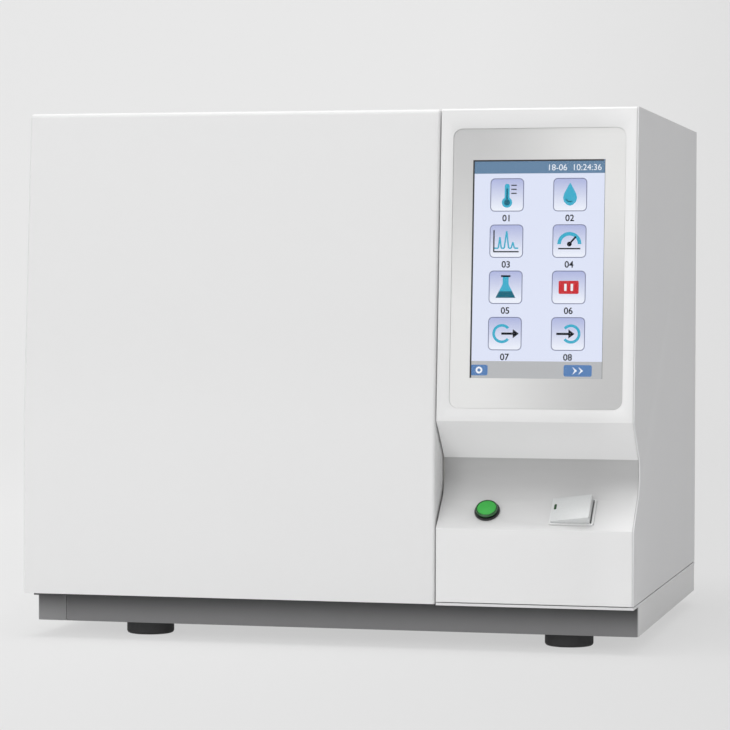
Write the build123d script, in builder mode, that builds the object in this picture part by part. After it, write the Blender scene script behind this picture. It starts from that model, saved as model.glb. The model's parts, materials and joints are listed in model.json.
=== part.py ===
from build123d import *
import os
from math import atan2, cos, degrees, radians, sin

# A bench gas chromatograph: an oven module with a full-height door on the left, a control module with a
# sculpted fascia on the right, both on a low sheet-metal base with four rubber feet. Millimetres, +Z up,
# the front faces -Y and the origin is at the middle of the footprint, on the bench.

os.makedirs("parts", exist_ok=True)

# ---------------------------------------------------------------- driving dimensions
# Overall size
width = 630.0
height = 538.0
body_depth = 500.0             # ridge of the front to the outer face of the rear panel
rear_reach = 24.0              # how far the exhaust cowl and the gas fittings stand behind the rear panel

# Sheet metal and gaps
sheet = 1.5                    # painted outer covers
frame_sheet = 2.0              # front frame of the oven module
liner_sheet = 1.0              # stainless and galvanised inner work
play = 0.3                     # gap between a moving piece and its neighbour
fit = 0.05                     # radial clearance of a shaft in its bearing
seam = 0.3                     # gap between two fixed covers
panel_gap = 1.1                # shadow gap above the floor pan

# Base and feet
foot_height = 15.0
foot_diameter = 49.0
foot_left_inset = 112.5        # left edge of the body to the centre of the left feet
foot_right_inset = 76.0
foot_front_inset = 77.5
foot_rear_inset = 60.0
foot_edge_radius = 3.0
base_height = 30.0
base_front_setback = 33.0
base_left_inset = 4.0
base_corner = 3.5              # vertical corner radius of the base
side_rail_width = 31.5         # the separate rail at the left end of the base
floor_pan_thickness = 2.4

# Shape of the front
ridge_height = 182.0           # crease of the front above the bottom of the door
lean_back = 23.0               # how far the top of the front stands behind the ridge
door_gap_below = 1.0

# Door and control module
module_width = 197.4           # left face of the control module to the right side of the machine
door_depth = 39.5
seal_gap = 2.5                 # back of the door to the front frame
module_gap = 1.6               # door to control module
door_top_radius = 6.0
door_side_radius = 3.0

# Control fascia
fascia_wall = 2.5
fascia_depth = 62.0
scoop_height = 106.0           # from the ridge down to the foot of the slope
scoop_overhang_depth = 40.0    # depth of the crease under the ridge
scoop_overhang_drop = 38.0
slope_run = 31.0               # the slope that carries the button and the switch
slope_rise = 28.0

# Display
overlay_width = 172.0
overlay_height = 277.5
overlay_foot = 13.0            # ridge to the lower edge of the overlay
overlay_thickness = 0.8
overlay_corner = 9.0
overlay_recess = 0.8           # face of the overlay below the face of the fascia
screen_width = 132.2
screen_height = 216.4
screen_foot = 43.0             # ridge to the lower edge of the visible screen
glass_margin = 8.0
glass_thickness = 1.1
display_thickness = 7.0

# Run-start button
button_x = 166.0               # from the middle of the machine
button_up = 23.5               # up the slope
button_ring_diameter = 25.4
button_ring_height = 2.2
button_cap_diameter = 22.0
button_cap_height = 6.0        # face of the cap above the slope
button_barrel_diameter = 19.0
button_barrel_length = 24.0
button_travel = 2.5
button_stem_diameter = 9.0

# Power switch
switch_x = 252.0
switch_up = 24.5
switch_width = 44.0
switch_height = 35.0
switch_flange = 1.8
switch_lip = 1.5               # flange beyond the cavity
switch_wall = 0.8
switch_depth = 22.0
rocker_axis_drop = 1.5         # rocker axis below the face of the slope
rocker_top = 8.5               # face of the rocker above its axis
rocker_foot = 3.5              # lower ends of the rocker below its axis
rocker_belly = 4.5             # lowest point of the rocker below its axis
rocker_foot_half = 16.0
rocker_waist = 0.7             # how far the sides draw in at the axis
rocker_tilt = 9.5              # each way from level
rocker_pin_diameter = 3.0
rocker_lens_width = 2.7
rocker_lens_height = 7.5

# Oven
oven_side_wall = 70.5          # side of the door to the side of the oven cavity
bay_height = 92.6              # deck over the oven to the underside of the lid
oven_depth = 188.0
insulation = 45.0
plug_reach = 20.0              # door plug into the oven mouth
plug_gap = 3.0
gasket_width = 9.0

# Door hinges
hinge_side_inset = 6.5         # hinge axis from the left face
hinge_back_inset = 8.5         # hinge axis from the back of the door
hinge_pin_diameter = 5.0
hinge_eye_radius = 6.0
hinge_arm_thickness = 8.0
hinge_lug_height = 17.0
hinge_low = 90.0               # lower hinge above the bottom of the door
hinge_high = 70.0              # upper hinge below the top of the door
hinge_lug_reach = 20.0         # side of the door to the inner side of a lug
hinge_lug_front = 7.5          # front of a lug in front of the hinge axis
hinge_notch_reach = 22.0       # side of the door to the inner side of the notch round an arm
hinge_notch_front = 5.0        # notch in front of the eye of the arm
magnet_inset = 11.0            # magnets from the control module
magnet_width = 14.0
magnet_height = 44.0
magnet_depth = 12.0
magnet_stand = 0.2             # face of the magnet in front of the front frame

# Top lid
lid_height = 14.0
lid_edge_radius = 5.0          # rolled rear edge, concentric with the hinge
lid_bar_depth = 28.0           # fixed bar behind the lid
lid_pin_diameter = 4.0
lid_notch = 12.0
lid_bracket_width = 8.0
lid_pin_length = 44.0
lid_bracket_inset = 70.0       # bracket from the end of the lid

# Oven fan
fan_diameter = 150.0
fan_blade_depth = 24.0
fan_blades = 12
fan_wall_gap = 10.0            # back of the fan to the back of the oven
fan_shaft_diameter = 8.0
fan_shaft_hole = 14.0
motor_diameter = 92.0
motor_length = 78.0
motor_standoff = 22.0

# Heater and baffle
heater_ring_diameter = 204.0
heater_tube_diameter = 6.5
baffle_margin = 14.0           # edge of the baffle to the wall of the oven
baffle_post_inset = 11.0
baffle_gap = 9.0               # baffle in front of the fan
baffle_eye = 88.0              # perforated inlet in the middle of the baffle

# Column
column_diameter = 190.0        # mean diameter of the winding
column_bundle_depth = 26.0
column_bundle_thickness = 5.0
cage_wire = 3.0
cage_bar = 2.6
cage_bars = 8
cage_gap = 22.0                # cage in front of the baffle

# Injectors and detectors
port_spacing = 120.0
injector_depth = 36.0          # behind the mouth of the oven
detector_depth = 118.0
injector_diameter = 18.0
injector_nut_diameter = 26.0
detector_stem_diameter = 10.0
port_block_size = 46.0
port_into_oven = 12.0

# Exhaust
duct_size = 50.0
duct_inset = 41.0              # middle of the duct from the right wall and the roof of the oven
flap_edge_gap = 0.6
flap_thickness = 1.5
flap_shaft_diameter = 6.0
flap_from_rear = 60.0
flap_motor_size = 42.0
flap_motor_length = 34.0

# Rear panel
cooling_fan_offset = 30.0      # right of the middle of the control module
cooling_fan_drop = 90.0        # below the top
inlet_side_inset = 52.0
inlet_rise = 42.0              # above the floor pan
gas_side_inset = 26.0          # left face of the control module to the first gas fitting
gas_pitch = 24.0
gas_count = 3
gas_rise = 112.0               # above the oven axis
port_plate_offset = 20.0
port_plate_drop = 30.0         # below the oven axis
motor_vent_offset = 40.0       # left of the oven axis
pass_through_inset = 60.0      # holes in the bulkhead from the rear and from the floor
pass_through_diameter = 32.0

# Electronics bay
cooling_fan_size = 80.0
cooling_fan_depth = 25.0
cooling_fan_hub = 34.0
cooling_fan_blades = 7
board_height = 290.0
board_depth = 205.0
board_standoff = 8.0
board_thickness = 1.6

# ---------------------------------------------------------------- derived places
left_x = -width / 2
right_x = width / 2
front_y = -(body_depth + rear_reach) / 2
back_y = front_y + body_depth
base_bottom_z = foot_height
base_top_z = base_bottom_z + base_height
pan_top_z = base_top_z + floor_pan_thickness
panel_bottom_z = pan_top_z + panel_gap
door_bottom_z = base_top_z + door_gap_below
ridge_z = door_bottom_z + ridge_height
top_z = height
module_left_x = right_x - module_width
door_right_x = module_left_x - module_gap
door_width = door_right_x - left_x
module_right_x = right_x - sheet - seam
module_mid_x = (module_left_x + right_x) / 2
body_front_y = front_y + door_depth + seal_gap
rear_inner_y = back_y - sheet
lean_angle = degrees(atan2(lean_back, top_z - ridge_z))
slope_angle = degrees(atan2(slope_run, slope_rise))
scoop_foot_z = ridge_z - scoop_height

# The leaning face above the ridge and the slope in the scoop, each with x to the right and y uphill
lean_plane = Plane(
    origin=(module_mid_x, front_y, ridge_z),
    x_dir=(1, 0, 0),
    z_dir=(0, -cos(radians(lean_angle)), sin(radians(lean_angle))),
)
slope_plane = Plane(
    origin=(0, front_y, scoop_foot_z),
    x_dir=(1, 0, 0),
    z_dir=(0, -cos(radians(slope_angle)), sin(radians(slope_angle))),
)

# Oven places
insulated_wall = insulation + 2 * liner_sheet
lid_bottom_z = top_z - lid_height
rim_z = lid_bottom_z - play
deck_bottom_z = lid_bottom_z - bay_height
oven_width = door_width - 2 * oven_side_wall
oven_height = deck_bottom_z - pan_top_z - 2 * insulated_wall
oven_x = (left_x + sheet + module_left_x) / 2
oven_z = (pan_top_z + deck_bottom_z) / 2
mouth_y = body_front_y + frame_sheet
oven_back_y = mouth_y + oven_depth
casing_back_y = oven_back_y + insulated_wall


def profile_plane(x):
    """Plane across the machine at x: its x axis runs to the rear, its y axis up."""
    return Plane(origin=(x, 0, 0), x_dir=(0, 1, 0), z_dir=(1, 0, 0))


def facing_plane(y):
    """Plane that looks to the front at y: its x axis runs to the right, its y axis up."""
    return Plane(origin=(0, y, 0), x_dir=(1, 0, 0), z_dir=(0, -1, 0))


def keep(piece, name):
    """Label a finished piece and write its file."""
    piece.part.label = name
    export_step(piece.part, f"parts/{name}.step")


def front_at(z):
    """The y of the front face at height z."""
    return front_y + max(0.0, z - ridge_z) * lean_back / (top_z - ridge_z)


# ---------------------------------------------------------------- base
base_left_x = left_x + base_left_inset
rail_right_x = base_left_x + side_rail_width
base_front_y = front_y + base_front_setback
foot_xs = (left_x + foot_left_inset, right_x - foot_right_inset)
foot_ys = (front_y + foot_front_inset, back_y - foot_rear_inset)
foot_places = [(x, y) for y in foot_ys for x in foot_xs]
foot_screw_diameter = 5.0
foot_well_diameter = 16.0
foot_well_depth = 9.0
base_vent_length = 60.0
base_vent_width = 5.0
base_vent_pitch = 14.0
base_vent_count = 8
vent_x = module_mid_x
vent_y = (base_front_y + back_y) / 2


def tray(left, right, open_left=False, open_right=False):
    """A folded tray of the base, open at the top, with rounded outer corners."""
    depth = back_y - base_front_y
    with BuildPart() as piece:
        with BuildSketch(Plane.XY.offset(base_bottom_z)):
            with Locations(((left + right) / 2, (base_front_y + back_y) / 2)):
                Rectangle(right - left, depth)
        extrude(amount=base_height)
        uprights = piece.edges().filter_by(Axis.Z)
        if open_left:
            uprights = uprights.group_by(Axis.X)[-1]
        if open_right:
            uprights = uprights.group_by(Axis.X)[0]
        fillet(uprights, base_corner)
        openings = [piece.faces().sort_by(Axis.Z)[-1]]
        if open_right:
            openings.append(piece.faces().sort_by(Axis.X)[-1])
        offset(amount=-sheet, openings=openings)
    return piece


base_side_rail = tray(base_left_x, rail_right_x - seam, open_right=True)
keep(base_side_rail, "base_side_rail")

with BuildPart() as base_tray:
    add(tray(rail_right_x, right_x, open_left=True).part)
    with BuildSketch(Plane.XY.offset(base_bottom_z)):
        with Locations((vent_x, vent_y)):
            with GridLocations(0, base_vent_pitch, 1, base_vent_count):
                SlotOverall(base_vent_length, base_vent_width)
    extrude(amount=sheet, mode=Mode.SUBTRACT)
    with Locations(*[(x, y, base_bottom_z + sheet) for x, y in foot_places]):
        Hole(foot_screw_diameter / 2 + fit, depth=2 * sheet)
keep(base_tray, "base_tray")

with BuildPart() as feet:
    with BuildSketch():
        with Locations(*foot_places):
            Circle(foot_diameter / 2)
    extrude(amount=foot_height)
    fillet(feet.edges().group_by(Axis.Z)[0], foot_edge_radius)
    with BuildSketch():
        with Locations(*foot_places):
            Circle(foot_well_diameter / 2)
    extrude(amount=foot_well_depth, mode=Mode.SUBTRACT)
    with BuildSketch():
        with Locations(*foot_places):
            Circle(foot_screw_diameter / 2 + fit)
    extrude(amount=foot_height, mode=Mode.SUBTRACT)
keep(feet, "feet")

with BuildPart() as floor_pan:
    with BuildSketch(Plane.XY.offset(base_top_z)):
        with BuildLine():
            Polyline(
                (left_x, body_front_y),
                (module_left_x, body_front_y),
                (module_left_x, front_y),
                (right_x, front_y),
                (right_x, back_y),
                (left_x, back_y),
                close=True,
            )
        make_face()
        with Locations((vent_x, vent_y)):
            with GridLocations(0, base_vent_pitch, 1, base_vent_count):
                SlotOverall(base_vent_length, base_vent_width, mode=Mode.SUBTRACT)
    extrude(amount=floor_pan_thickness)
keep(floor_pan, "floor_pan")

# ---------------------------------------------------------------- body of the oven module
hinge_x = left_x + hinge_side_inset
hinge_y = front_y + door_depth - hinge_back_inset
hinge_zs = (door_bottom_z + hinge_low, top_z - hinge_high)
arm_slot = hinge_arm_thickness + 2
arm_left_x = hinge_x - hinge_eye_radius + 2
arm_right_x = hinge_x + hinge_eye_radius
magnet_x = module_left_x - magnet_inset
magnet_zs = hinge_zs
strike_thickness = seal_gap - play - magnet_stand

port_xs = (oven_x - port_spacing / 2, oven_x + port_spacing / 2)
injector_y = mouth_y + injector_depth
detector_y = mouth_y + detector_depth
duct_x = oven_x + oven_width / 2 - duct_inset
duct_z = oven_z + oven_height / 2 - duct_inset

with BuildPart() as front_frame:
    with BuildSketch(facing_plane(mouth_y)):
        with BuildLine():
            Polyline(
                (left_x + sheet, pan_top_z),
                (module_left_x, pan_top_z),
                (module_left_x, rim_z),
                (left_x + sheet, rim_z),
                close=True,
            )
        make_face()
        with Locations((oven_x, oven_z)):
            Rectangle(oven_width, oven_height, mode=Mode.SUBTRACT)
        with Locations(*[((arm_left_x + arm_right_x) / 2, z) for z in hinge_zs]):
            Rectangle(arm_right_x - arm_left_x + 1, arm_slot, mode=Mode.SUBTRACT)
        with Locations(*[(magnet_x, z) for z in magnet_zs]):
            Rectangle(magnet_width, magnet_height, mode=Mode.SUBTRACT)
    extrude(amount=frame_sheet)
keep(front_frame, "front_frame")

with BuildPart() as left_side_panel:
    with BuildSketch(profile_plane(left_x)):
        with BuildLine():
            Polyline(
                (body_front_y, panel_bottom_z),
                (back_y, panel_bottom_z),
                (back_y, top_z),
                (back_y - lid_bar_depth, top_z),
                (back_y - lid_bar_depth, rim_z),
                (body_front_y, rim_z),
                close=True,
            )
        make_face()
    extrude(amount=sheet)
keep(left_side_panel, "left_side_panel")

pass_through_zs = (pan_top_z + pass_through_inset, duct_z)
with BuildPart() as centre_bulkhead:
    with BuildSketch(profile_plane(module_left_x)):
        with BuildLine():
            Polyline(
                (front_y + fascia_depth + seam, pan_top_z),
                (rear_inner_y, pan_top_z),
                (rear_inner_y, top_z - sheet),
                (front_y + fascia_depth + seam, top_z - sheet),
                close=True,
            )
        make_face()
        with Locations(*[(back_y - pass_through_inset, z) for z in pass_through_zs]):
            Circle(pass_through_diameter / 2, mode=Mode.SUBTRACT)
    extrude(amount=sheet)
keep(centre_bulkhead, "centre_bulkhead")

# ---------------------------------------------------------------- oven
def oven_box(margin, wall):
    """One open-fronted layer of the oven, `margin` outside the cavity, with every pass-through cut."""
    back = oven_back_y + margin + wall
    hole_depth = insulation + 4 * liner_sheet
    with BuildPart() as layer:
        with BuildSketch(facing_plane(mouth_y)):
            with Locations((oven_x, oven_z)):
                Rectangle(oven_width + 2 * (margin + wall), oven_height + 2 * (margin + wall))
        extrude(amount=-(back - mouth_y))
        with BuildSketch(facing_plane(mouth_y)):
            with Locations((oven_x, oven_z)):
                Rectangle(oven_width + 2 * margin, oven_height + 2 * margin)
        extrude(amount=-(back - wall - mouth_y), mode=Mode.SUBTRACT)
        with BuildSketch(facing_plane(oven_back_y)):
            with Locations((oven_x, oven_z)):
                Circle(fan_shaft_hole / 2)
            with Locations(*heater_leg_places):
                Circle(heater_tube_diameter / 2 + play)
            with Locations((duct_x, duct_z)):
                Rectangle(duct_outer + 2 * play, duct_outer + 2 * play)
        extrude(amount=-hole_depth, mode=Mode.SUBTRACT)
        with BuildSketch(Plane.XY.offset(oven_top_z)):
            with Locations(*[(x, injector_y) for x in port_xs]):
                Circle(injector_diameter / 2 + play)
            with Locations(*[(x, detector_y) for x in port_xs]):
                Circle(detector_stem_diameter / 2 + play)
        extrude(amount=hole_depth, mode=Mode.SUBTRACT)
    return layer


duct_outer = duct_size + 2 * liner_sheet
oven_top_z = oven_z + oven_height / 2
heater_radius = heater_ring_diameter / 2
heater_leg_angle = 12.0
heater_leg_places = [
    (
        oven_x + heater_radius * sin(radians(side * heater_leg_angle)),
        oven_z - heater_radius * cos(radians(heater_leg_angle)),
    )
    for side in (-1, 1)
]

oven_liner = oven_box(0, liner_sheet)
keep(oven_liner, "oven_liner")
oven_insulation = oven_box(liner_sheet, insulation)
keep(oven_insulation, "oven_insulation")
oven_casing = oven_box(liner_sheet + insulation, liner_sheet)
keep(oven_casing, "oven_casing")

fan_back_y = oven_back_y - fan_wall_gap
fan_front_y = fan_back_y - fan_blade_depth
baffle_y = fan_front_y - baffle_gap
fan_plate = 1.2
fan_hub_diameter = 24.0
fan_eye_diameter = 92.0
blade_thickness = 1.2
blade_sweep = 24.0
motor_front_y = casing_back_y + motor_standoff
shaft_seat = 18.0


def fan_blade(inner_radius, outer_radius):
    """Outline of one blade, curved back against the turn, around the fan's middle."""
    lead = radians(blade_sweep)
    middle = (inner_radius + outer_radius) / 2
    tip = (outer_radius * cos(lead), outer_radius * sin(lead))
    belly = (middle * cos(0.28 * lead), middle * sin(0.28 * lead))
    with BuildSketch() as blade:
        with BuildLine():
            root_side = ThreePointArc((inner_radius, 0), belly, tip)
            end = Line(root_side @ 1, (tip[0] - blade_thickness, tip[1] + blade_thickness))
            back_side = ThreePointArc(
                end @ 1,
                (belly[0] - blade_thickness / 2, belly[1] + blade_thickness),
                (inner_radius, blade_thickness),
            )
            Line(back_side @ 1, root_side @ 0)
        make_face()
    return blade.sketch


with BuildPart() as oven_fan:
    with BuildSketch(facing_plane(fan_back_y)):
        with Locations((oven_x, oven_z)):
            Circle(fan_diameter / 2)
    extrude(amount=fan_plate)
    with BuildSketch(facing_plane(fan_back_y)):
        with Locations((oven_x, oven_z)):
            with PolarLocations(0, fan_blades):
                add(fan_blade(fan_eye_diameter / 2, fan_diameter / 2 - 1.5))
    extrude(amount=fan_blade_depth - fan_plate)
    with BuildSketch(facing_plane(fan_front_y + fan_plate)):
        with Locations((oven_x, oven_z)):
            Circle(fan_diameter / 2)
            Circle(fan_eye_diameter / 2 + 2, mode=Mode.SUBTRACT)
    extrude(amount=fan_plate)
    with BuildSketch(facing_plane(fan_back_y)):
        with Locations((oven_x, oven_z)):
            Circle(fan_hub_diameter / 2)
    extrude(amount=fan_blade_depth * 0.6)
    with BuildSketch(facing_plane(fan_back_y)):
        with Locations((oven_x, oven_z)):
            Circle(fan_shaft_diameter / 2)
    extrude(amount=-(motor_front_y + shaft_seat - fan_back_y))
keep(oven_fan, "oven_fan")

motor_flange = 104.0
motor_flange_thickness = 3.0
motor_post_diameter = 9.0
motor_post_spacing = 84.0
motor_bore_depth = shaft_seat + 2

with BuildPart() as fan_motor:
    with BuildSketch(facing_plane(motor_front_y)):
        with Locations((oven_x, oven_z)):
            RectangleRounded(motor_flange, motor_flange, 10)
    extrude(amount=-motor_flange_thickness)
    with BuildSketch(facing_plane(motor_front_y)):
        with Locations((oven_x, oven_z)):
            Circle(motor_diameter / 2)
    extrude(amount=-motor_length)
    fillet(fan_motor.edges().group_by(Axis.Y)[-1], 6)
    with BuildSketch(facing_plane(motor_front_y)):
        with Locations((oven_x, oven_z)):
            Circle(fan_shaft_diameter / 2 + fit)
    extrude(amount=-motor_bore_depth, mode=Mode.SUBTRACT)
keep(fan_motor, "fan_motor")

with BuildPart() as motor_posts:
    with BuildSketch(facing_plane(casing_back_y)):
        with Locations((oven_x, oven_z)):
            with GridLocations(motor_post_spacing, motor_post_spacing, 2, 2):
                Circle(motor_post_diameter / 2)
    extrude(amount=-motor_standoff)
keep(motor_posts, "motor_posts")

heater_y = (fan_front_y + fan_back_y) / 2
heater_tail = 14.0              # how far the legs stand out behind the casing
with BuildPart() as oven_heater:
    with BuildLine(facing_plane(heater_y)) as heater_path:
        CenterArc(
            (oven_x, oven_z),
            heater_radius,
            -90 + heater_leg_angle,
            360 - 2 * heater_leg_angle,
        )
    with BuildSketch(Plane(origin=heater_path.line @ 0, z_dir=heater_path.line % 0)):
        Circle(heater_tube_diameter / 2)
    sweep()
    with Locations(heater_path.line @ 0, heater_path.line @ 1):
        Sphere(heater_tube_diameter / 2)
    with BuildSketch(facing_plane(heater_y)):
        with Locations(*heater_leg_places):
            Circle(heater_tube_diameter / 2)
    extrude(amount=-(casing_back_y + heater_tail - heater_y))
keep(oven_heater, "oven_heater")

cage_back_y = baffle_y - cage_gap
cage_end_gap = 7.0              # cage beyond each end of the winding
cage_depth = column_bundle_depth + 2 * cage_end_gap
cage_front_y = cage_back_y - cage_depth
bundle_inner_radius = (column_diameter - column_bundle_thickness) / 2
cage_radius = bundle_inner_radius - cage_wire / 2
peg_diameter = 6.0
peg_angle = 28.0
peg_reach = cage_gap + cage_depth + 10
peg_ring_radius = cage_radius - (cage_wire + peg_diameter) / 2
peg_x = peg_ring_radius * sin(radians(peg_angle))
peg_z = peg_ring_radius * cos(radians(peg_angle))
baffle_width = oven_width - 2 * baffle_margin
baffle_height = oven_height - 2 * baffle_margin
baffle_corner = 8.0
post_margin = 2 * baffle_post_inset
baffle_hole = 12.0
baffle_post_diameter = 7.0

with BuildPart() as fan_baffle:
    with BuildSketch(facing_plane(baffle_y)):
        with Locations((oven_x, oven_z)):
            RectangleRounded(baffle_width, baffle_height, baffle_corner)
            Circle(baffle_hole / 2, mode=Mode.SUBTRACT)
            with PolarLocations(baffle_eye * 0.2, 6):
                Circle(baffle_hole / 2, mode=Mode.SUBTRACT)
            with PolarLocations(baffle_eye * 0.4, 12):
                Circle(baffle_hole / 2, mode=Mode.SUBTRACT)
    extrude(amount=-liner_sheet)
    with BuildSketch(facing_plane(baffle_y)):
        with Locations((oven_x, oven_z)):
            with GridLocations(baffle_width - post_margin, baffle_height - post_margin, 2, 2):
                Circle(baffle_post_diameter / 2)
    extrude(amount=-(oven_back_y - baffle_y))
    with BuildSketch(facing_plane(baffle_y)):
        with Locations((oven_x, oven_z)):
            with Locations(*[(side * peg_x, peg_z) for side in (-1, 1)]):
                Circle(peg_diameter / 2)
    extrude(amount=peg_reach)
keep(fan_baffle, "fan_baffle")

with BuildPart() as column_cage:
    for ring_y in (cage_front_y + cage_wire / 2, cage_back_y - cage_wire / 2):
        with BuildSketch(Plane(origin=(oven_x, ring_y, oven_z), x_dir=(1, 0, 0), z_dir=(0, 0, 1))):
            with Locations((cage_radius, 0)):
                Circle(cage_wire / 2)
        revolve(axis=Axis((oven_x, ring_y, oven_z), (0, 1, 0)))
    with BuildSketch(facing_plane(cage_back_y)):
        with Locations((oven_x, oven_z)):
            with PolarLocations(cage_radius, cage_bars, 180 / cage_bars):
                Circle(cage_bar / 2)
    extrude(amount=cage_depth)
keep(column_cage, "column_cage")

with BuildPart() as column_coil:
    coil_y = (cage_back_y + cage_front_y) / 2
    with BuildSketch(Plane(origin=(oven_x, coil_y, oven_z), x_dir=(1, 0, 0), z_dir=(0, 0, 1))):
        with Locations((column_diameter / 2, 0)):
            RectangleRounded(column_bundle_thickness, column_bundle_depth, 2)
    revolve(axis=Axis((oven_x, coil_y, oven_z), (0, 1, 0)))
keep(column_coil, "column_coil")

# ---------------------------------------------------------------- deck, injectors and detectors
deck_top_z = deck_bottom_z + sheet
block_height = 50.0
port_body_rise = 68.0          # top of the injector body above the deck
nut_height = 18.0
nut_flutes = 12
needle_hole = 1.6
detector_tower_rise = 24.0      # shoulder of the detector above its heater block
detector_tower_diameter = 28.0
detector_chimney_diameter = 16.0
detector_shoulder = 8.0
detector_chimney_wall = 3.0
detector_chimney_rise = 8.0
detector_jet_depth = 14.0
detector_probe_diameter = 9.0
detector_probe_reach = 12.0
block_pass = 0.3

with BuildPart() as top_deck:
    with BuildSketch(Plane.XY.offset(deck_bottom_z)):
        with BuildLine():
            Polyline(
                (left_x + sheet, mouth_y),
                (module_left_x, mouth_y),
                (module_left_x, rear_inner_y),
                (left_x + sheet, rear_inner_y),
                close=True,
            )
        make_face()
        with Locations(*[(x, injector_y) for x in port_xs]):
            Circle(injector_diameter / 2 + block_pass, mode=Mode.SUBTRACT)
        with Locations(*[(x, detector_y) for x in port_xs]):
            Circle(detector_stem_diameter / 2 + block_pass, mode=Mode.SUBTRACT)
    extrude(amount=sheet)
keep(top_deck, "top_deck")

with BuildPart() as port_heater_blocks:
    with BuildSketch(Plane.XY.offset(deck_top_z)):
        with Locations(*[(x, y) for x in port_xs for y in (injector_y, detector_y)]):
            RectangleRounded(port_block_size, port_block_size, 4)
        with Locations(*[(x, injector_y) for x in port_xs]):
            Circle(injector_diameter / 2 + fit, mode=Mode.SUBTRACT)
        with Locations(*[(x, detector_y) for x in port_xs]):
            Circle(detector_stem_diameter / 2 + fit, mode=Mode.SUBTRACT)
    extrude(amount=block_height)
    chamfer(port_heater_blocks.edges().group_by(Axis.Z)[-1].filter_by(GeomType.LINE), 1)
keep(port_heater_blocks, "port_heater_blocks")

injector_top_z = deck_top_z + port_body_rise
with BuildPart() as injectors:
    with BuildSketch(Plane.XY.offset(oven_top_z - port_into_oven)):
        with Locations(*[(x, injector_y) for x in port_xs]):
            RegularPolygon(injector_diameter / 2 - 2, 6)
    extrude(amount=port_into_oven)
    with BuildSketch(Plane.XY.offset(oven_top_z)):
        with Locations(*[(x, injector_y) for x in port_xs]):
            Circle(injector_diameter / 2)
    extrude(amount=injector_top_z - oven_top_z)
    with BuildSketch(Plane.XY.offset(deck_top_z + block_height)):
        with Locations(*[(x, injector_y) for x in port_xs]):
            Circle(injector_nut_diameter / 2 + 1)
    extrude(amount=5)
    with BuildSketch(Plane.XY.offset(oven_top_z - port_into_oven)):
        with Locations(*[(x, injector_y) for x in port_xs]):
            Circle(needle_hole / 2)
    extrude(amount=injector_top_z - oven_top_z + port_into_oven, mode=Mode.SUBTRACT)
keep(injectors, "injectors")

with BuildPart() as septum_nuts:
    with BuildSketch(Plane.XY.offset(injector_top_z)):
        for port_x in port_xs:
            with Locations((port_x, injector_y)):
                Circle(injector_nut_diameter / 2)
                with PolarLocations(injector_nut_diameter / 2 + 0.6, nut_flutes):
                    Circle(2, mode=Mode.SUBTRACT)
    extrude(amount=nut_height)
    with BuildSketch(Plane.XY.offset(injector_top_z + nut_height)):
        with Locations(*[(x, injector_y) for x in port_xs]):
            Circle(needle_hole * 2)
    extrude(amount=-4, taper=28, mode=Mode.SUBTRACT)
    with BuildSketch(Plane.XY.offset(injector_top_z)):
        with Locations(*[(x, injector_y) for x in port_xs]):
            Circle(needle_hole / 2)
    extrude(amount=nut_height, mode=Mode.SUBTRACT)
keep(septum_nuts, "septum_nuts")

block_top_z = deck_top_z + block_height
detector_top_z = block_top_z + detector_tower_rise
stem_radius = detector_stem_diameter / 2
tower_radius = detector_tower_diameter / 2
chimney_radius = detector_chimney_diameter / 2
chimney_inner_radius = chimney_radius - detector_chimney_wall

with BuildPart() as detectors:
    for port_x in port_xs:
        with BuildSketch(Plane(origin=(port_x, detector_y, 0), x_dir=(1, 0, 0), z_dir=(0, -1, 0))):
            with BuildLine():
                Polyline(
                    (0, oven_top_z - port_into_oven),
                    (stem_radius, oven_top_z - port_into_oven),
                    (stem_radius, block_top_z),
                    (tower_radius, block_top_z),
                    (tower_radius, detector_top_z - detector_shoulder),
                    (chimney_radius + detector_chimney_wall, detector_top_z),
                    (chimney_radius, detector_top_z),
                    (chimney_radius, detector_top_z + detector_chimney_rise),
                    (chimney_inner_radius, detector_top_z + detector_chimney_rise),
                    (chimney_inner_radius, detector_top_z - detector_jet_depth),
                    (0, detector_top_z - detector_jet_depth),
                    close=True,
                )
            make_face()
        revolve(axis=Axis((port_x, detector_y, 0), (0, 0, 1)))
        with BuildSketch(profile_plane(port_x)):
            with Locations((detector_y, detector_top_z - detector_jet_depth)):
                Circle(detector_probe_diameter / 2)
        extrude(amount=tower_radius + detector_probe_reach)
keep(detectors, "detectors")

# ---------------------------------------------------------------- door
door_back_y = front_y + door_depth
notch_right_x = left_x + hinge_notch_reach
notch_front_y = hinge_y - hinge_eye_radius - hinge_notch_front


def door_block(inset, side_radius, top_radius):
    """The door's outer form, or its hollow when inset by the sheet; the hollow runs out at the back."""
    rear_y = door_back_y + (1 if inset else 0)
    lean_inset = inset / cos(radians(lean_angle))
    with BuildPart() as block:
        with BuildSketch(profile_plane(left_x + inset)):
            with BuildLine():
                Polyline(
                    (front_y + inset, door_bottom_z + inset),
                    (front_y + inset, ridge_z),
                    (front_at(top_z - inset) + lean_inset, top_z - inset),
                    (rear_y, top_z - inset),
                    (rear_y, door_bottom_z + inset),
                    close=True,
                )
            make_face()
        extrude(amount=door_width - 2 * inset)
        across = block.edges().filter_by(Axis.X)
        top_front = across.group_by(Axis.Z)[-1].sort_by(Axis.Y)[0]
        fillet(top_front, top_radius)
        upright = block.edges().filter_by(lambda edge: abs(edge.tangent_at(0.5).Z) > 0.9)
        uprights = upright.filter_by(lambda edge: edge.center().Y < front_y + lean_back + inset + 2)
        fillet(uprights, side_radius)
    return block.part


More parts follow.
